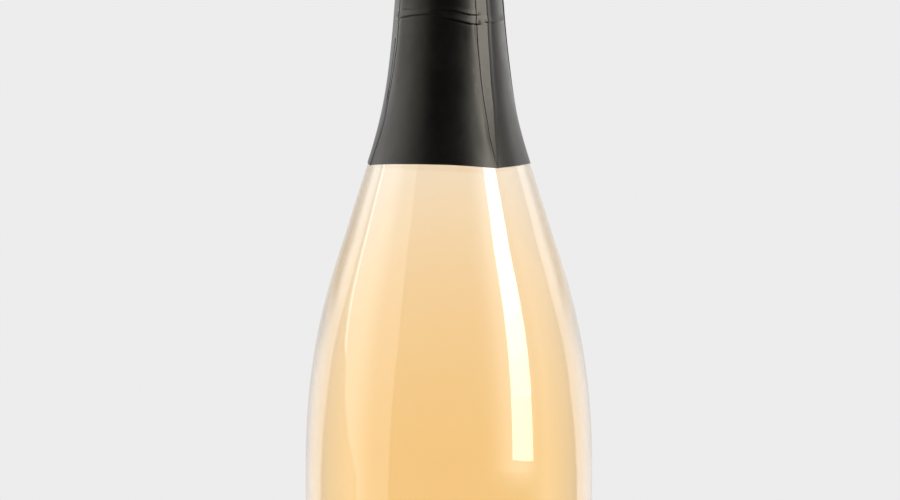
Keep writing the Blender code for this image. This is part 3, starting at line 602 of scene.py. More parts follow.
# the profile across a pleat, in the order of growing azimuth
foldProfile = {
    "start": -0.25,                       # mm
    "under": [(0.30, 0), (0.58, 0), (0.64, 0.5), (0.58, 1), (0.30, 1)],   # share of the width, layers
    "edge": [(0.06, 1, 0.2), (-0.02, 1.25, 0.6), (-0.02, 1.75, 1.0)],     # mm, layers, wear
    # share of the width with wear, then share of the fall with what is left of the crest
    "flap": [(0.02, 0.9), (0.12, 0.3), (0.3, 0), (0.5, 0), (0.7, 0), (0.86, 0.1), (0.96, 0.5)],
    "fall": [(0.0, 1.0), (0.14, 0.93), (0.34, 0.70), (0.56, 0.36), (0.78, 0.10), (1.0, 0.0)],
    "fallWidth": 2.4, "wideFlap": 3.0,    # mm, less where the flap is narrower than the second
    "crestWear": 0.6,
    "swellGaps": (0.2, 1.5, 1.6, 5.0),    # mm from the free edge where the swelling begins, is full and ends
    "crowding": 0.45,                     # how much closer together the columns lie beside a pleat
}
# pressed-in creases: (azimuth, height) points, how far the foil stands out above, and how far up that reaches
skirtCreases = [
    {"line": [(-66, 0.2401), (-52, 0.2405), (-42, 0.2408), (-21, 0.2411), (-12, 0.2406), (-4, 0.2398),
              (4, 0.2393), (14, 0.2386), (22, 0.2381), (30, 0.2380)], "height": 0.00030, "reach": 0.0013},
    {"line": [(-8, 0.2424), (4, 0.2421), (14, 0.2414), (22, 0.2409), (30, 0.2409)],
     "height": 0.00018, "reach": 0.0009},
    {"line": [(42, 0.2387), (54, 0.2387), (66, 0.2390), (78, 0.2394)], "height": 0.00028, "reach": 0.0013},
    {"line": [(-66, 0.2428), (-50, 0.2429), (-35, 0.2426)], "height": 0.00007, "reach": 0.0010},
    {"line": [(150, 0.2330), (165, 0.2342), (182, 0.2338)], "height": 0.00014, "reach": 0.0014},
    {"line": [(205, 0.2500), (230, 0.2512), (262, 0.2503)], "height": 0.00016, "reach": 0.0016},
]
creaseShape = {"endsDeg": (6, 3), "step": (-0.00016, 0.00022), "groove": (0.0002, 0.0003, 0.2)}
# small dents: azimuth, height, radius, depth
skirtDents = [
    (25.6, 0.2237, 0.0006, 0.00007), (27.0, 0.2196, 0.0007, 0.00006), (26.0, 0.2178, 0.0005, 0.00006),
    (22.0, 0.1999, 0.0008, 0.00005), (-33.0, 0.2290, 0.0016, 0.00004), (148.0, 0.2150, 0.0012, 0.00006),
]


def sleeveRadius(z):
    # the sleeve before it is pleated, as the solid's
    return between([(0.1944, 0.02575), (0.2840, 0.02077), (0.3283, 0.0183)], z)


def skirtRadius(z):
    v = skirtValues
    hugging = glassRadius(z) + v["gap"] + v["thickness"]
    share = smoothStep(v["topZ"] - v["flare"], v["topZ"], z)
    return hugging + (sleeveRadius(z) - hugging) * share


def foldColumns(pleat, z):
    # (azimuth, radius, wear, polish) across one pleat
    v = foldProfile
    base = skirtRadius(z)
    way, free, polish = pleat["way"], math.radians(between(pleat["free"], z)), pleat["polish"]
    widthMm = between(pleat["width"], z)
    full = min(widthMm, 1.0)
    layer = pleat["layer"] * full
    mm = 0.001 / base
    turn = widthMm * mm
    tilt = math.radians(pleat["tiltDeg"])
    outside = base + 2 * layer

    def lid(share):
        # the flap lies between flat and round
        flat = outside * math.cos(tilt) / math.cos(turn * share - tilt)
        return outside + (flat - outside) * pleat["flat"]

    crest = lid(1.0) - base
    fall = v["fallWidth"] * mm * min(widthMm / v["wideFlap"], 1.0)
    points = [(v["start"] * mm * full, base, 0, 0)]
    points += [(share * turn, base + layers * layer, 0, 0) for share, layers in v["under"]]
    points += [(a * mm * full, base + layers * layer, wear * full, polish) for a, layers, wear in v["edge"]]
    points += [(turn * share, lid(share), wear * full, polish) for share, wear in v["flap"]]
    for share, left in v["fall"]:
        wear = v["crestWear"] * full if share == 0 else 0
        points.append((turn + fall * share, base + crest * left, wear, polish * left ** 4))
    points = [(free + way * a, *rest) for a, *rest in points]
    return points if way > 0 else points[::-1]


def swellBeside(pleat, azimuth, z):
    # the panel rises a little before it dips under the flap
    away = (math.radians(between(pleat["free"], z)) - azimuth) * pleat["way"]
    away = (away + math.pi) % math.tau - math.pi
    gap = away * skirtRadius(z) * 1000
    begin, full, falling, end = foldProfile["swellGaps"]
    if gap < begin:
        return 0.0
    share = smoothStep(begin, full, gap) * (1 - smoothStep(falling, end, gap))
    return between(pleat["swell"], z) * 0.001 * share


def panelCounts():
    # how many columns each panel gets, the same at every height
    middle, counts = skirtValues["middleZ"], []
    for pleat, following in zip(skirtPleats, skirtPleats[1:] + skirtPleats[:1]):
        turn = (between(following["free"], middle) - between(pleat["free"], middle)) % 360
        counts.append(max(4, round(turn / pleat["panelStepDeg"])))
    return counts


panelSteps = panelCounts()


def skirtRing(z):
    folds = [foldColumns(pleat, z) for pleat in skirtPleats]
    ring = []
    for fold, following, steps in zip(folds, folds[1:] + folds[:1], panelSteps):
        ring += fold
        start, end = fold[-1][0], following[0][0]
        end += math.tau if end < start else 0
        for step in range(1, steps):
            share = step / steps
            share += (0.5 - 0.5 * math.cos(math.pi * share) - share) * foldProfile["crowding"]
            azimuth = start + (end - start) * share
            swell = sum(swellBeside(pleat, azimuth, z) for pleat in skirtPleats)
            ring.append((azimuth, skirtRadius(z) + swell, 0, 0))
    return ring + [(ring[0][0] + math.tau, *ring[0][1:])]


def fromFrontDeg(azimuth):
    return (math.degrees(azimuth) + 90) % 360 - 90


def creaseOffset(azimuth, z):
    place, offset = fromFrontDeg(azimuth), 0.0
    (beyond, inside), (below, above) = creaseShape["endsDeg"], creaseShape["step"]
    grooveDown, grooveWidth, grooveShare = creaseShape["groove"]
    for crease in skirtCreases:
        line = crease["line"]
        first, last = line[0][0], line[-1][0]
        if first - beyond < place < last + beyond:
            up = z - between(line, place)
            ends = smoothStep(first - beyond, first + inside, place)
            ends *= smoothStep(last + beyond, last - inside, place)
            step = smoothStep(below, above, up) * bell(max(up - above, 0), crease["reach"])
            offset += crease["height"] * ends * (step - grooveShare * bell(up + grooveDown, grooveWidth))
    for dentDeg, height, radius, depth in skirtDents:
        aside = math.radians(place - dentDeg) * skirtRadius(height)
        offset -= depth * math.exp(-(aside * aside + (z - height) ** 2) / radius ** 2)
    return offset


def makeSkirt():
    v = skirtValues
    columns = len(skirtRing(v["middleZ"])) - 1
    levels = []
    for (low, count), (high, _) in zip(v["rows"], v["rows"][1:]):
        levels += [low + (high - low) * row / count for row in range(count)]
    levels.append(v["topZ"])
    foot = levels[0]
    rings = [skirtRing(level) for level in levels]
    around, along, softDepth, softZ = v["softness"]
    wearAtEdge, wearReach = v["edgeWear"]

    def place(column, row):
        level = levels[row]
        azimuth, radius, wear, polish = rings[row][column]
        scallop = between(v["edge"], fromFrontDeg(azimuth)) - foot
        z = level + scallop * (1 - smoothStep(foot, v["straightZ"], level))
        radius += skirtRadius(z) - skirtRadius(level)
        soft = softNoise(azimuth, z, around, along) * softDepth
        radius += max(soft * smoothStep(foot, softZ, level) + creaseOffset(azimuth, z), v["deepest"])
        edgeWear = wearAtEdge * (1 - smoothStep(0.0, wearReach, level - foot))
        return atAzimuth(radius, azimuth, z), max(wear, edgeWear), polish

    skirt = wrappedSheet("foilSkirt", columns, len(levels) - 1, place, v["thickness"])
    finishPiece(skirt, "bottle", makeFoilMaterial("blackFoilSkirt"), "capsule_skirt")


stripValues = {
    "lowZ": 0.2840, "highZ": 0.2910, "thickness": 0.00018, "columns": 216, "rows": 20,
    "tooth": 0.00016,        # what the two torn lines leave between their slits
    "beads": ((0.11, 0.00016), (0.89, 0.00016)), "beadWidth": 0.045,
    "softness": (6, 260, 0.00005), "wear": (0.56, 0.24),
}


def makeTearStrip():
    v = stripValues
    around, along, softDepth = v["softness"]
    edgeWear, faceWear = v["wear"]

    def place(column, row):
        azimuth, share = math.tau * column / v["columns"], row / v["rows"]
        z = v["lowZ"] + (v["highZ"] - v["lowZ"]) * share
        atEdge = row in (0, v["rows"])
        if atEdge and column % 4 < 2:
            z += v["tooth"] if row else -v["tooth"]
        # a rolled bead beside each torn line, and faint pleats from the cage under it
        radius = sleeveRadius(z) + beadLift(v["beads"], share, v["beadWidth"])
        radius += softDepth * softNoise(azimuth, z, around, along)
        wear = edgeWear if atEdge else faceWear * math.exp(-((share - 0.5) / 0.42) ** 8)
        return atAzimuth(radius, azimuth, z), wear, 0

    strip = wrappedSheet("tearStrip", v["columns"], v["rows"], place, v["thickness"])
    finishPiece(strip, "tear_strip", makeFoilMaterial("blackFoilStrip"), "capsule_tear_strip")


tabValues = {
    "azimuthDeg": 128, "length": 0.0090, "lowZ": 0.2850, "highZ": 0.2900, "gap": 0.0003, "thickness": 0.00022,
    "columns": 44, "rows": 24, "ribs": ((0.55, 0.00014), (0.66, 0.00014), (0.77, 0.00014)), "ribWidth": 0.022,
    "curl": (0.72, 0.0009),  # the end curls off, to be gripped
    "wear": 0.6,
}


def makePullTab():
    v = tabValues
    middle, half = (v["lowZ"] + v["highZ"]) / 2, (v["highZ"] - v["lowZ"]) / 2
    curlStart, curlHeight = v["curl"]

    def place(column, row):
        along = column / v["columns"]
        across = 2 * row / v["rows"] - 1
        reach = v["length"] * along
        # the free end is round
        left = v["length"] - reach
        narrow = math.sqrt(max(1 - ((half - left) / half) ** 2, 0.0)) if left < half else 1.0
        z = middle + half * across * narrow
        radius = sleeveRadius(z) + v["gap"] + v["thickness"]
        radius += beadLift(v["ribs"], along, v["ribWidth"]) * (1 - abs(across) ** 6)
        radius += curlHeight * smoothStep(curlStart, 1.0, along) ** 2
        azimuth = math.radians(v["azimuthDeg"]) + reach / sleeveRadius(v["lowZ"])
        return atAzimuth(radius, azimuth, z), v["wear"] if abs(across) > 0.93 else 0.0, 0

    tab = wrappedSheet("pullTab", v["columns"], v["rows"], place, v["thickness"], closed=False)
    finishPiece(tab, "pull_tab", makeFoilMaterial("blackFoilTab"), "pull_tab")


hoodValues = {
    "lowZ": 0.2913, "topZ": 0.3283, "round": 0.0015, "flange": 0.0040, "thickness": 0.00015, "columns": 264,
    # the foil is pressed over the cage, so its four legs show through
    "legBulge": 0.00022, "legWidthDeg": 4.5, "legsDeg": (45, 135, 225, 315),
    "broad": (3.2, 95), "broadDepth": 0.00013, "fine": (11, 60, 4), "fineDepth": 0.00006,
    # the turned-in edge is crimped down on the disc
    "crimps": 44, "crimpDepth": 0.00012, "crimpLift": 0.00002,
}


def makeHood():
    v = hoodValues
    shoulderZ = v["topZ"] - v["round"]
    outer = sleeveRadius(shoulderZ)
    side = [(sleeveRadius(z), z) for z in (v["lowZ"] + (shoulderZ - v["lowZ"]) * i / 46 for i in range(47))]
    turn = arcPoints((outer - v["round"], shoulderZ), v["round"], 0, 90, 8)[1:]
    rim = (outer - v["flange"], v["topZ"])
    flange = straightPoints((outer - v["round"], v["topZ"]), rim, 7, first=1)
    outline = side + turn + flange + [rim]

    def place(column, row):
        azimuth = math.tau * column / v["columns"]
        radius, z = outline[row]
        if row < len(side):
            height = (z - v["lowZ"]) / (shoulderZ - v["lowZ"])
            for leg in v["legsDeg"]:
                away = (math.degrees(azimuth) - leg + 180) % 360 - 180
                radius += v["legBulge"] * bell(away, v["legWidthDeg"]) * smoothStep(0.0, 0.2, height)
            soft = v["broadDepth"] * softNoise(azimuth, z, *v["broad"])
            soft += v["fineDepth"] * softNoise(azimuth, z, *v["fine"])
            radius += soft * smoothStep(0, 0.08, height)
            wear = 0.35 * smoothStep(0.9, 1.0, height) + (0.5 if row == 0 else 0)
        else:
            inward = (outer - radius) / v["flange"]
            fold = math.cos(azimuth * v["crimps"]) * 0.5 + 0.5
            z -= v["crimpDepth"] * fold * smoothStep(0.15, 0.6, inward) + v["crimpLift"]
            wear = 0.5 * (1 - fold) * smoothStep(0.1, 0.5, inward) + 0.25
        return atAzimuth(radius, azimuth, z), wear, 0

    hood = wrappedSheet("foilHood", v["columns"], len(outline) - 1, place, v["thickness"])
    finishPiece(hood, "hood", makeFoilMaterial("blackFoilHood"), "capsule_hood")


discValues = {
    "topZ": 0.3277, "lowZ": 0.3274, "radius": 0.0165, "rings": 110, "steps": 144,
    "beads": ((0.0118, 0.00022), (0.0094, 0.00014), (0.0030, 0.00012)), "beadWidth": 0.0006,
}


def makeTopDisc():
    v = discValues
    outline = [(0.0, v["topZ"])]
    for step in range(1, v["rings"] + 1):
        radius = v["radius"] * step / v["rings"]
        outline.append((radius, v["topZ"] + beadLift(v["beads"], radius, v["beadWidth"])))
    outline += [(v["radius"], v["lowZ"]), (v["radius"] * 0.5, v["lowZ"]), (0.0, v["lowZ"])]
    disc = turnedPiece("foilTopDisc", outline, v["steps"])
    for label in ("foldWear", "foldPolish"):
        disc.data.attributes.new(label, "FLOAT", "POINT")
    material = makeFoilMaterial("blackFoilDisc", foilValues["discRoughness"])
    finishPiece(disc, "hood", material, "capsule_top_disc")


makeSkirt()
makeTearStrip()
makePullTab()
makeHood()
makeTopDisc()
print("foil capsule done")


corkSizes = {
    "depth": 0.0250, "discThickness": 0.0060, "gap": 0.0003, "headRadius": 0.0155, "headHeight": 0.0190,
    "headRound": 0.0040, "footWidth": 0.0018, "footHeight": 0.0055, "chamfer": 0.0006, "smallEdge": 0.0002,
    "steps": 132, "discSteps": 96, "sharpDeg": 60,
    "pits": (0.00010, 1400), "discPits": (0.00006, 1100),     # depth and scale
}
corkColours = {
    "grains": (((0.30, 0.155, 0.062, 1), 0.0), ((0.52, 0.315, 0.155, 1), 0.45), ((0.66, 0.44, 0.24, 1), 1.0)),
    "seams": (0.16, 0.08, 0.035, 1), "grainScale": 480.0,
    "wood": ((0.50, 0.315, 0.165, 1), (0.70, 0.50, 0.31, 1)), "pores": (0.20, 0.10, 0.045, 1),
    "bump": (0.5, 0.0003),
}


def makeAgglomerateMaterial():
    v = corkColours
    values = {"Roughness": 0.85, "Specular IOR Level": 0.3}
    material, tree, shader, place = startMaterial("agglomeratedCork", values)
    size = {"Vector": place, "Scale": v["grainScale"]}
    grains = addNode(tree, "ShaderNodeTexVoronoi", {**size, "Randomness": 1.0})
    seams = addNode(tree, "ShaderNodeTexVoronoi", size, feature="DISTANCE_TO_EDGE")
    shades = addNode(tree, "ShaderNodeSeparateColor", {"Color": (grains, "Color")})
    ramp = addNode(tree, "ShaderNodeValToRGB", {"Fac": (shades, "Red")})
    stops = ramp.color_ramp.elements
    stops.new(v["grains"][1][1])
    for stop, (colour, _) in zip(stops, v["grains"]):
        stop.color = colour
    line = rangeNode(tree, (seams, "Distance"), 0.0, 0.09, smooth=False)
    feed(shader, "Base Color", mixNode(tree, "RGBA", line, v["seams"], (ramp, "Color")))
    fleck = placeGroup(tree, softMottle, place, {"Scale": 1700.0, "Detail": 4.0})
    addBump(tree, shader, mathNode(tree, "MULTIPLY_ADD", fleck, 0.35, line), *v["bump"])
    return material


def makeNaturalCorkMaterial(name, seed):
    v = corkColours
    material, tree, shader, place = startMaterial(name, {"Roughness": 0.8, "Specular IOR Level": 0.3})
    values = {"Vector": place, "Location": (seed, seed * 0.7, 0.0), "Scale": (1.0, 0.35, 1.0)}
    shift = addNode(tree, "ShaderNodeMapping", values), "Vector"
    years = placeGroup(tree, softMottle, shift, {"Scale": 420.0, "Detail": 5.0})
    values = {"Stretch": (0.35, 1.0, 1.0), "Scale": 800.0, "Share": 0.60}
    pores = placeGroup(tree, fineScratches, shift, values)
    wood = mixNode(tree, "RGBA", years, *v["wood"])
    feed(shader, "Base Color", mixNode(tree, "RGBA", pores, wood, v["pores"]))
    addBump(tree, shader, mathNode(tree, "MULTIPLY", pores, -1.0), *v["bump"])
    return material


def roughenPiece(piece, depth, scale):
    # small pits, pushed in along the normals
    for vertex in piece.data.vertices:
        push = noise.noise(vertex.co * scale) * 0.6 + noise.noise(vertex.co * scale * 2.7) * 0.4
        vertex.co -= vertex.normal * depth * (0.5 - push)


def makeCorkBody(bottom):
    v = corkSizes
    shank, footZ, small = bottleSizes["boreRadius"] - v["gap"], lipZ + v["gap"], v["smallEdge"]
    topZ = footZ + v["headHeight"]
    side, neck = (v["headRadius"], topZ - v["headRound"]), (shank, footZ - v["gap"])
    corner = (v["headRadius"] - v["headRound"], topZ - v["headRound"])
    swell = bezierPoints(
        (bottleSizes["boreRadius"] + v["footWidth"], footZ), (v["headRadius"] - v["footWidth"], footZ),
        (v["headRadius"], footZ + v["footHeight"] / 3), (v["headRadius"], footZ + v["footHeight"]), 12,
    )
    outline = straightPoints((0.0, topZ), (corner[0], topZ), 14)
    outline += arcPoints(corner, v["headRound"], 90, 0, 10)
    outline += straightPoints(side, (v["headRadius"], swell[-1][1]), 12, first=1)
    outline += swell[::-1] + [(shank + 2 * small, footZ)]
    outline += straightPoints(neck, (shank, bottom), 14)
    outline += [(shank, bottom + small), (shank - small, bottom)]
    outline += straightPoints((shank, bottom), (0.0, bottom), 9, first=1) + [(0.0, bottom)]
    body = turnedPiece("corkMushroom", outline, v["steps"], v["sharpDeg"])
    roughenPiece(body, *v["pits"])
    finishPiece(body, "cork", makeAgglomerateMaterial(), "cork_body")


def makeCorkDisc(name, node, top, seed):
    v = corkSizes
    shank, low, small = bottleSizes["boreRadius"] - v["gap"], top - v["discThickness"], v["smallEdge"]
    inner = shank - v["chamfer"]
    outline = straightPoints((0.0, top), (shank, top), 8) + [(shank - small, top), (shank, top - small)]
    outline += straightPoints((shank, top), (shank, low), 8, first=1)[:-1] + [(shank, low + v["chamfer"])]
    outline += straightPoints((inner, low), (0.0, low), 8) + [(0.0, low)]
    disc = turnedPiece(name, outline, v["discSteps"], v["sharpDeg"])
    roughenPiece(disc, *v["discPits"])
    finishPiece(disc, "cork", makeNaturalCorkMaterial(name + "Wood", seed), node)


firstTop = lipZ - corkSizes["depth"] + corkSizes["discThickness"]
secondTop = firstTop + corkSizes["gap"] + corkSizes["discThickness"]
makeCorkBody(secondTop + corkSizes["gap"])
makeCorkDisc("lowerCorkDisc", "cork_disc_lower", firstTop, 0.013)
makeCorkDisc("upperCorkDisc", "cork_disc_upper", secondTop, 0.031)
print("cork done")


capSizes = {
    "radius": 0.0133, "topZ": 0.3249, "thickness": 0.00028, "slope": 0.0033, "drop": 0.0003,
    "rim": 0.0002, "rimRound": 0.00012, "rings": 60, "slopeRings": 12, "steps": 144,
    "beads": ((0.0086, 0.00022), (0.0066, -0.00010)), "beadWidth": 0.0005, "highest": 0.00025,
}
wireSizes = {
    "radius": 0.000475, "pitch": 0.0080, "eyelet": 0.00125, "gap": 0.0003, "clear": 0.0002, "step": 0.0005,
    "ringRadius": 0.0119, "ringSteps": 120, "seatZ": 0.3252, "hookDeg": (180, 140, 100, 60),
    "legsDeg": (45, 135, 225, 315), "legTop": 0.0016, "legTurnsDeg": (60, 42, 20, 0),
    "headSide": 0.01675, "headZ": lipZ + 0.00125,
    "ringSide": 0.01815, "legLowZ": ringZ + 0.0009, "legHighZ": ringZ + 0.0056,
    "hoopSteps": 160, "tail": 0.0125, "tailRise": (0.005, 0.0085), "tailPitch": 0.62,
    "eyeWidth": 0.0080, "eyeHeight": 0.0100, "eyeSteps": 40,
    "spread": 0.98,          # how far the strands lie from their middle, in wire radii
    "smoothings": 2, "bevel": 3,
}
steelLook = {
    "cap": ((0.56, 0.555, 0.54), 0.26, (1.0, 1.0, 0.2)),      # colour, roughness, way of the scratches
    "wire": ((0.33, 0.33, 0.32), 0.34, (1.0, 1.0, 1.0)),
    "dulled": 0.82, "roughened": 0.16, "scratchHeight": 0.00004,
}


def makeSteelMaterial(name, colour, roughness, stretch):
    v = steelLook
    material, tree, shader, place = startMaterial(name, {"Metallic": 1.0})
    dull = placeGroup(tree, softMottle, place, {"Scale": 240.0, "Detail": 4.0})
    darker = tuple(c * v["dulled"] for c in colour) + (1,)
    feed(shader, "Base Color", mixNode(tree, "RGBA", dull, darker, colour + (1,)))
    lines = placeGroup(tree, fineScratches, place, {"Stretch": stretch, "Scale": 1500.0, "Share": 0.5})
    rough = rangeNode(tree, lines, 0.0, 1.0, roughness, roughness + v["roughened"], smooth=False)
    feed(shader, "Roughness", rough)
    addBump(tree, shader, lines, 0.25, v["scratchHeight"])
    return material


def makeCapPlate():
    v = capSizes
    flat, rimZ, low = v["radius"] - v["slope"], v["topZ"] - v["drop"], v["topZ"] - v["thickness"]
    outline = [(0.0, v["topZ"])]
    for step in range(1, v["rings"] + 1):
        radius = flat * step / v["rings"]
        lift = min(beadLift(v["beads"], radius, v["beadWidth"]), v["highest"])
        outline.append((radius, v["topZ"] + lift))
    for step in range(1, v["slopeRings"] + 1):
        share = step / v["slopeRings"]
        radius = flat + (v["slope"] - v["rim"]) * share
        outline.append((radius, v["topZ"] - v["drop"] * smoothStep(0, 1, share)))
    outline += [(v["radius"], rimZ - v["rimRound"]), (v["radius"], rimZ - v["thickness"])]
    outline += [(v["radius"] - v["rim"], rimZ - v["thickness"]), (flat, low), (flat * 0.6, low), (0.0, low)]
    cap = turnedPiece("capPlate", outline, v["steps"])
    steel = makeSteelMaterial("capPlateSteel", *steelLook["cap"])
    finishPiece(cap, "cage", steel, "cork_cap_plate")


def wirePiece(name, paths):
    deselectAll()
    curve = bpy.data.curves.new(name, "CURVE")
    curve.dimensions = "3D"
    curve.bevel_depth = wireSizes["radius"]
    curve.bevel_resolution = wireSizes["bevel"]
    curve.use_fill_caps = True
    for points, closed in paths:
        spline = curve.splines.new("POLY")
        spline.points.add(len(points) - 1)
        for knot, point in zip(spline.points, points):
            knot.co = (*point, 1)
        spline.use_cyclic_u = closed
    piece = linkObject(name, curve)
    bpy.context.view_layer.objects.active = piece
    piece.select_set(True)
    bpy.ops.object.convert(target="MESH")
    piece = currentPiece(name)
    bpy.ops.object.shade_smooth_by_angle(angle=math.radians(60))
    return piece


def evenPath(points, spacing):
    # a smooth curve through the points, in even steps
    knots = [Vector(p) for p in points]
    knots = [2 * knots[0] - knots[1], *knots, 2 * knots[-1] - knots[-2]]
    fine = []
    for before, start, end, after in zip(knots, knots[1:], knots[2:], knots[3:]):
        reach = (end - start).length / 3
        startWay, endWay = (end - before).normalized() * reach, (after - start).normalized() * reach
        fine += interpolate_bezier(start, start + startWay, end - endWay, end, 25)[:-1]
    fine.append(knots[-2])
    travelled = [0.0]
    for start, end in zip(fine, fine[1:]):
        travelled.append(travelled[-1] + (end - start).length)
    count, found, index = round(travelled[-1] / spacing), [], 0
    for step in range(count + 1):
        wanted = travelled[-1] * step / count
        while index < len(travelled) - 2 and travelled[index + 1] < wanted:
            index += 1
        share = (wanted - travelled[index]) / (travelled[index + 1] - travelled[index])
        found.append(fine[index].lerp(fine[index + 1], share))
    return found


def twistedStrands(path, side, pitch, startTurn=0.0):
    # two strands that wind round a centre line
    spread = wireSizes["radius"] * wireSizes["spread"]
    strands, travelled = ([], []), 0.0
    for i, point in enumerate(path):
        before, after = path[max(i - 1, 0)], path[min(i + 1, len(path) - 1)]
        along = (after - before).normalized()
        across = side.cross(along)
        if i:
            travelled += (point - path[i - 1]).length
        turn = math.tau * travelled / pitch + startTurn
        for k, strand in enumerate(strands):
            a = turn + math.pi * k
            strand.append(point + (across * math.cos(a) + side * math.sin(a)) * spread)
    return strands


def sideOf(point, middle, side):
    return 1 if (point - middle).dot(side) > 0 else -1


def smoothPoints(points, rounds):
    for _ in range(rounds):
        inner = [(a + b * 2 + c) / 4 for a, b, c in zip(points, points[1:], points[2:])]
        points = [points[0], *inner, points[-1]]
    return points


def cageSide(z):
    v = wireSizes
    ring, head = v["ringSide"], v["headSide"]
    return between([(v["legLowZ"], ring), (v["legHighZ"], ring), (v["headZ"], head)], z)


beltZ = ringZ - wireSizes["gap"] - wireSizes["eyelet"] - wireSizes["radius"]
beltInner = bottleSizes["neckTopRadius"] + wireSizes["gap"] + wireSizes["radius"]
beltOuter = beltInner + wireSizes["eyelet"]


def legPath(azimuth):
    # over the cap's rim, round the cork's head and down its side to the belt
    v, wire = wireSizes, wireSizes["radius"]
    headTop = lipZ + corkSizes["gap"] + corkSizes["headHeight"]
    corner = (corkSizes["headRadius"] - corkSizes["headRound"], headTop - corkSizes["headRound"])
    aside, above = v["headSide"] - corner[0], v["seatZ"] + 2 * wire - corner[1]
    line = [(v["ringRadius"] + v["legTop"], v["seatZ"] + wire * 1.7)]
    for a in map(math.radians, v["legTurnsDeg"]):
        line.append((corner[0] + aside * math.cos(a), corner[1] + above * math.sin(a)))
    line += [(v["headSide"], v["headZ"]), (v["ringSide"], v["legHighZ"]), (v["ringSide"], v["legLowZ"])]
    line.append((beltOuter + v["eyelet"] + v["clear"], beltZ + v["eyelet"] * 1.3))
    return evenPath([atAzimuth(r, azimuth, z) for r, z in line], v["step"])


def makeCageWire(steel):
    v, wire = wireSizes, wireSizes["radius"]
    paths = []
    for azimuth in (math.radians(degrees) for degrees in v["legsDeg"]):
        side = atAzimuth(1, azimuth + math.pi / 2, 0)
        path = legPath(azimuth)
        one, two = twistedStrands(path, side, v["pitch"], startTurn=math.pi / 2)
        # both strands hook over the ring at the top and meet in one loop round the belt below
        hook = []
        for a in map(math.radians, v["hookDeg"]):
            radius, z = v["ringRadius"] + 2 * wire * math.cos(a), v["seatZ"] + wire + 2 * wire * math.sin(a)
            hook.append(atAzimuth(radius, azimuth, z))
        shifts = [side * wire * v["spread"] * sideOf(strand[0], path[0], side) for strand in (one, two)]
        firstHook, secondHook = ([point + shift for point in hook] for shift in shifts)
        loop = arcPoints((beltOuter, beltZ), v["eyelet"], 40, -240, 14)
        lean = side * wire * sideOf(one[-1], path[-1], side)
        loop = [atAzimuth(r, azimuth, z) + lean * (1 - i / 7) for i, (r, z) in enumerate(loop)]
        leg = firstHook + one + loop + two[::-1] + secondHook[::-1]
        paths.append((smoothPoints(leg, v["smoothings"]), False))
    turns = [math.tau * i / v["ringSteps"] for i in range(v["ringSteps"])]
    paths.append(([atAzimuth(v["ringRadius"], turn, v["seatZ"] + wire) for turn in turns], True))
    finishPiece(wirePiece("cageWire", paths), "cage", steel, "cage_wire")


def makeBeltWire(steel):
    # the belt weaves out to each eyelet; its twisted tail is folded up in front and ends in the eye
    v, wire = wireSizes, wireSizes["radius"]
    swing, middle = (beltOuter - beltInner) / 2, (beltOuter + beltInner) / 2
    firstLeg = math.radians(v["legsDeg"][0])
    hoop = []
    for azimuth in (math.tau * i / v["hoopSteps"] for i in range(v["hoopSteps"])):
        hoop.append(atAzimuth(middle + swing * math.cos(4 * (azimuth - firstLeg)), azimuth, beltZ))
    bend = arcPoints((v["ringSide"] - v["eyelet"], beltZ + v["eyelet"]), v["eyelet"], -90, 0, 4)
    topZ = beltZ + v["tail"]
    line = [(beltInner + v["clear"], beltZ)] + bend
    line += [(cageSide(beltZ + rise), beltZ + rise) for rise in (*v["tailRise"], v["tail"])]
    path = evenPath([atAzimuth(r, 0, z) for r, z in line], v["step"])
    side = atAzimuth(1, math.pi / 2, 0)
    one, two = twistedStrands(path, side, v["pitch"] * v["tailPitch"])
    sign = sideOf(one[-1], path[-1], side)
    eye = []
    for a in (-math.pi / 2 + sign * math.tau * i / v["eyeSteps"] for i in range(1, v["eyeSteps"])):
        z = topZ + v["eyeHeight"] / 2 + math.sin(a) * (v["eyeHeight"] / 2 - wire)
        eye.append(atAzimuth(cageSide(z), 0, z) + side * math.cos(a) * (v["eyeWidth"] / 2 - wire))
    tail = smoothPoints(one + eye + two[::-1], v["smoothings"])
    belt = wirePiece("beltWire", [(hoop, True), (tail, False)])
    finishPiece(belt, "cage", steel, "belt_wire")


makeCapPlate()
galvanised = makeSteelMaterial("galvanisedWire", *steelLook["wire"])
makeCageWire(galvanised)
makeBeltWire(galvanised)
print("cap and cage done")


studioValues = {
    "cameraDistance": 1.5,
    "cameraHeight": 0.1688,
    "cameraAside": 0.00034,
    "lensPerMetre": 129.0,
    "backdrop": 0.845,       # what the camera sees behind the bottle
    "throughGlass": 0.94,    # what is seen through the glass
    "ambient": 0.80,
    "eyeHeight": 0.17,       # height from which the studio's mirrored directions are reckoned
    "floorRadius": 2.6,
    "floorFade": (0.12, 0.60),
}
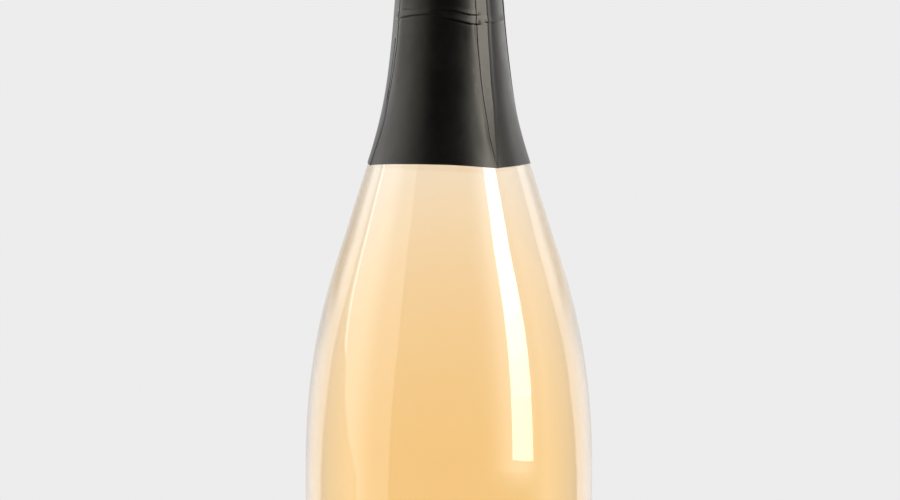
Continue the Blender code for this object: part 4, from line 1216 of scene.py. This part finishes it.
# what glass, foil and metal mirror; azimuths in degrees, heights as the Z part of the direction
mirrorValues = {
    "softboxInner": [(-0.10, 48.8), (0.0, 48.3), (0.114, 47.1), (0.30, 45.1), (0.437, 46.2), (0.53, 47.6),
                     (0.60, 52.0)],
    "softboxOuter": [(-0.10, 78.0), (-0.052, 80.0), (0.010, 87.6), (0.095, 94.7), (0.16, 97.5), (0.21, 102.2),
                     (0.27, 105.0), (0.36, 108.2), (0.60, 109.0)],
    # shares of the way from the inner to the outer edge
    "softboxStart": (-0.006, 0.012), "softboxEnd": (1.03, 0.97),
    "rimStart": (0.972, 0.985), "rimEnd": (1.050, 1.030),
    "softboxLevels": (1.30, 1.55),                  # from its inner to its outer edge
    "rim": (0.17, 0.20, 0.0, 3.0),                  # the bright rim above the outer edge, by height
    "backEdge": [(-0.10, 124.5), (-0.02, 123.5), (0.057, 120.0), (0.146, 119.0), (0.26, 115.5),
                 (0.40, 116.0)],
    "backSoftness": (2.5, 2.0),
    "backPeak": 3.0,
    "backLeft": (0.02, 0.12, 1.60, 0.75),           # straight behind the bottle, by height
    "backRight": (0.02, 0.12, 1.80, 1.10),
    # azimuths where the bright back begins and ends to darken, by height
    "fallStart": (0.05, 0.20, 130.0, 124.0),
    "fallEnd": (0.10, 0.20, 164.0, 140.0),
    "rear": (146.0, 176.0, 0.85),                   # azimuths, and what is left of it at the outline
    "sideLevels": (1.6, 1.35),                      # left and right
    "front": (62.0, 84.0, 0.04),
    "glow": (16.0, 58.0, 3.8),                      # round the strip on the right
    "glowEnd": (79.0, 60.0),
    "glowHeights": (-0.09, -0.05),
    "below": (-0.45, -0.12, 0.35, 1.0),             # what is left of all this where a surface looks down
    "above": (0.70, 0.92, 0.8),
    "middle": (-0.05, 0.05),                        # where left turns into right
}
# azimuth, distance, lowest and highest point, width, roll in degrees, brightness, colour,
# seen in mirrors, lights other things
studioLamps = {
    "rightStripTop": (62.3, 1.0, 0.530, 1.25, 0.337, -2.4, 13.0, (1.0, 0.99, 0.97), True, False),
    "rightStripUpper": (61.28, 1.0, 0.380, 0.530, 0.337, -2.4, 11.2, (1.0, 0.988, 0.965), True, False),
    "rightStripMiddle": (60.96, 1.0, 0.260, 0.380, 0.337, -2.4, 9.8, (1.0, 0.985, 0.96), True, False),
    "rightStripLower": (60.4, 1.0, 0.080, 0.262, 0.330, -1.0, 8.5, (1.0, 0.98, 0.95), True, False),
    "leftSoftbox": (-73.0, 1.2, -0.15, 1.45, 1.120, 0.0, 2.4, (1.0, 0.985, 0.965), False, True),
}


def makeMirrorGroup():
    v = mirrorValues
    group, start, end = startGroup("mirroredStudio", {"Vector": (0.0, 0.0, 0.0)}, "Value")
    unit = addNode(group, "ShaderNodeVectorMath", {0: (start, "Vector")}, operation="NORMALIZE")
    x, y, z = splitVector(group, (unit, "Vector"))
    azimuth = mathNode(group, "DEGREES", mathNode(group, "ARCTAN2", x, mathNode(group, "MULTIPLY", y, -1.0)))
    leftwards = mathNode(group, "MULTIPLY", azimuth, -1.0)
    aside = mathNode(group, "ABSOLUTE", azimuth)
    # front, sides and the bright back
    backEdge = tableNode(group, z, v["backEdge"])
    before, after = v["backSoftness"]
    backLow, backHigh = mathNode(group, "SUBTRACT", backEdge, before), mathNode(group, "ADD", backEdge, after)
    back = rangeNode(group, aside, backLow, backHigh)
    behindLeft, behindRight = (rangeNode(group, z, *v[key]) for key in ("backLeft", "backRight"))
    behind = rangeNode(group, x, *v["middle"], behindLeft, behindRight)
    fallStart, fallEnd = (rangeNode(group, z, *v[key]) for key in ("fallStart", "fallEnd"))
    rearStart, rearEnd, rearLevel = v["rear"]
    rear = rangeNode(group, aside, rearStart, rearEnd, behind, rearLevel)
    backLevel = rangeNode(group, aside, fallStart, fallEnd, v["backPeak"], rear)
    beside = rangeNode(group, x, *v["middle"], *v["sideLevels"])
    room = mixNode(group, "FLOAT", back, rangeNode(group, aside, *v["front"], beside), backLevel)
    # the softbox on the left, brighter outwards, with a bright rim above its outer edge
    inner, outer = (tableNode(group, z, v[key]) for key in ("softboxInner", "softboxOuter"))
    across = rangeNode(group, leftwards, inner, outer, smooth=False, clamp=False)
    begin, finish = (rangeNode(group, across, *v[key]) for key in ("softboxStart", "softboxEnd"))
    level = rangeNode(group, across, 0.0, 1.0, *v["softboxLevels"], smooth=False)
    box = chain(group, "MULTIPLY", begin, finish, level)
    begin, finish = (rangeNode(group, across, *v[key]) for key in ("rimStart", "rimEnd"))
    rim = chain(group, "MULTIPLY", begin, finish, rangeNode(group, z, *v["rim"]))
    glowStart, glowFull, glowLevel = v["glow"]
    near = rangeNode(group, azimuth, glowStart, glowFull)
    fade = rangeNode(group, azimuth, *v["glowEnd"], 0.0, glowLevel)
    glow = chain(group, "MULTIPLY", near, near, fade, rangeNode(group, z, *v["glowHeights"]))
    total = chain(group, "ADD", room, box, rim, glow)
    total = mathNode(group, "MULTIPLY", total, rangeNode(group, z, *v["below"]))
    ceilingStart, ceilingFull, ceilingLevel = v["above"]
    ceiling = rangeNode(group, z, ceilingStart, ceilingFull)
    feed(end, "Value", mixNode(group, "FLOAT", ceiling, total, ceilingLevel))
    return group


mirroredStudio = makeMirrorGroup()


def byRay(tree, path, strength, kinds):
    # what each kind of ray meets; a later kind goes before the earlier ones
    for ray, value in kinds:
        strength = mixNode(tree, "FLOAT", (path, ray), strength, value)
    return strength


def makeFloor():
    v = studioValues
    deselectAll()
    bpy.ops.mesh.primitive_circle_add(vertices=96, radius=v["floorRadius"], fill_type="NGON")
    floor = currentPiece("studioFloor")
    bpy.ops.object.mode_set(mode="EDIT")
    bpy.ops.mesh.select_all(action="SELECT")
    bpy.ops.mesh.inset(thickness=1.2, depth=0)
    bpy.ops.object.mode_set(mode="OBJECT")
    values = {"Base Color": (0.80, 0.80, 0.80, 1), "Roughness": 0.7, "Specular IOR Level": 0.2}
    material, tree, shader, place = startMaterial("paleFloor", values)
    path = addNode(tree, "ShaderNodeLightPath")
    length = addNode(tree, "ShaderNodeVectorMath", {0: place}, operation="LENGTH")
    # mirrors and glass meet the same studio in the floor as in the world round it
    way = addNode(tree, "ShaderNodeVectorMath", {0: place, 1: (0, 0, v["eyeHeight"])}, operation="SUBTRACT")
    mirrored = placeGroup(tree, mirroredStudio, (way, "Vector"))
    kinds = (("Is Glossy Ray", mirrored), ("Is Transmission Ray", v["throughGlass"]))
    strength = byRay(tree, path, v["backdrop"], kinds)
    glow = addNode(tree, "ShaderNodeEmission", {"Color": (1, 1, 1, 1), "Strength": strength})
    fade = rangeNode(tree, (length, "Value"), *v["floorFade"])
    glowing = chain(tree, "MAXIMUM", fade, (path, "Is Glossy Ray"), (path, "Is Transmission Ray"))
    sources = {"Fac": glowing, 1: (shader, "BSDF"), 2: (glow, "Emission")}
    blend = addNode(tree, "ShaderNodeMixShader", sources)
    feed(tree.nodes["Material Output"], "Surface", (blend, "Shader"))
    floor.data.materials.append(material)


def makeWorld():
    v = studioValues
    world = bpy.data.worlds.new("studioWorld")
    bpy.context.scene.world = world
    world.use_nodes = True
    tree = world.node_tree
    sky = tree.nodes["Background"]
    feed(sky, "Color", (1, 1, 1, 1))
    way = addNode(tree, "ShaderNodeTexCoord")
    mirrored = placeGroup(tree, mirroredStudio, (way, "Generated"))
    kinds = (("Is Glossy Ray", mirrored), ("Is Transmission Ray", v["throughGlass"]),
             ("Is Camera Ray", v["backdrop"]))
    feed(sky, "Strength", byRay(tree, addNode(tree, "ShaderNodeLightPath"), v["ambient"], kinds))


def makeLamp(name, azimuth, distance, low, high, width, roll, brightness, colour, mirrored, lightsAll):
    data = bpy.data.lights.new(name, "AREA")
    data.shape = "RECTANGLE"
    data.size, data.size_y = width, high - low
    data.color = colour
    data.energy = brightness * math.pi * width * (high - low)
    lamp = linkObject(name, data)
    lamp.location = atAzimuth(distance, math.radians(azimuth), (low + high) / 2)
    turn = Vector((-lamp.location.x, -lamp.location.y, 0)).to_track_quat("-Z", "Y")
    lamp.rotation_euler = (turn @ Quaternion((0, 0, 1), math.radians(roll))).to_euler()
    lamp.visible_camera = False
    lamp.visible_transmission = False
    lamp.visible_glossy = mirrored
    lamp.visible_diffuse = lightsAll


def makeCamera():
    v = studioValues
    data = bpy.data.cameras.new("studioCamera")
    data.sensor_width = 36
    data.lens = v["lensPerMetre"] * v["cameraDistance"]
    camera = linkObject("studioCamera", data)
    camera.location = (v["cameraAside"], -v["cameraDistance"], v["cameraHeight"])
    camera.rotation_euler = (math.radians(90), 0, 0)
    bpy.context.scene.camera = camera


makeFloor()
makeWorld()
for lampName, lampValues in studioLamps.items():
    makeLamp(lampName, *lampValues)
makeCamera()
bpy.context.scene.view_settings.view_transform = "Standard"
print("floor, light and camera done")
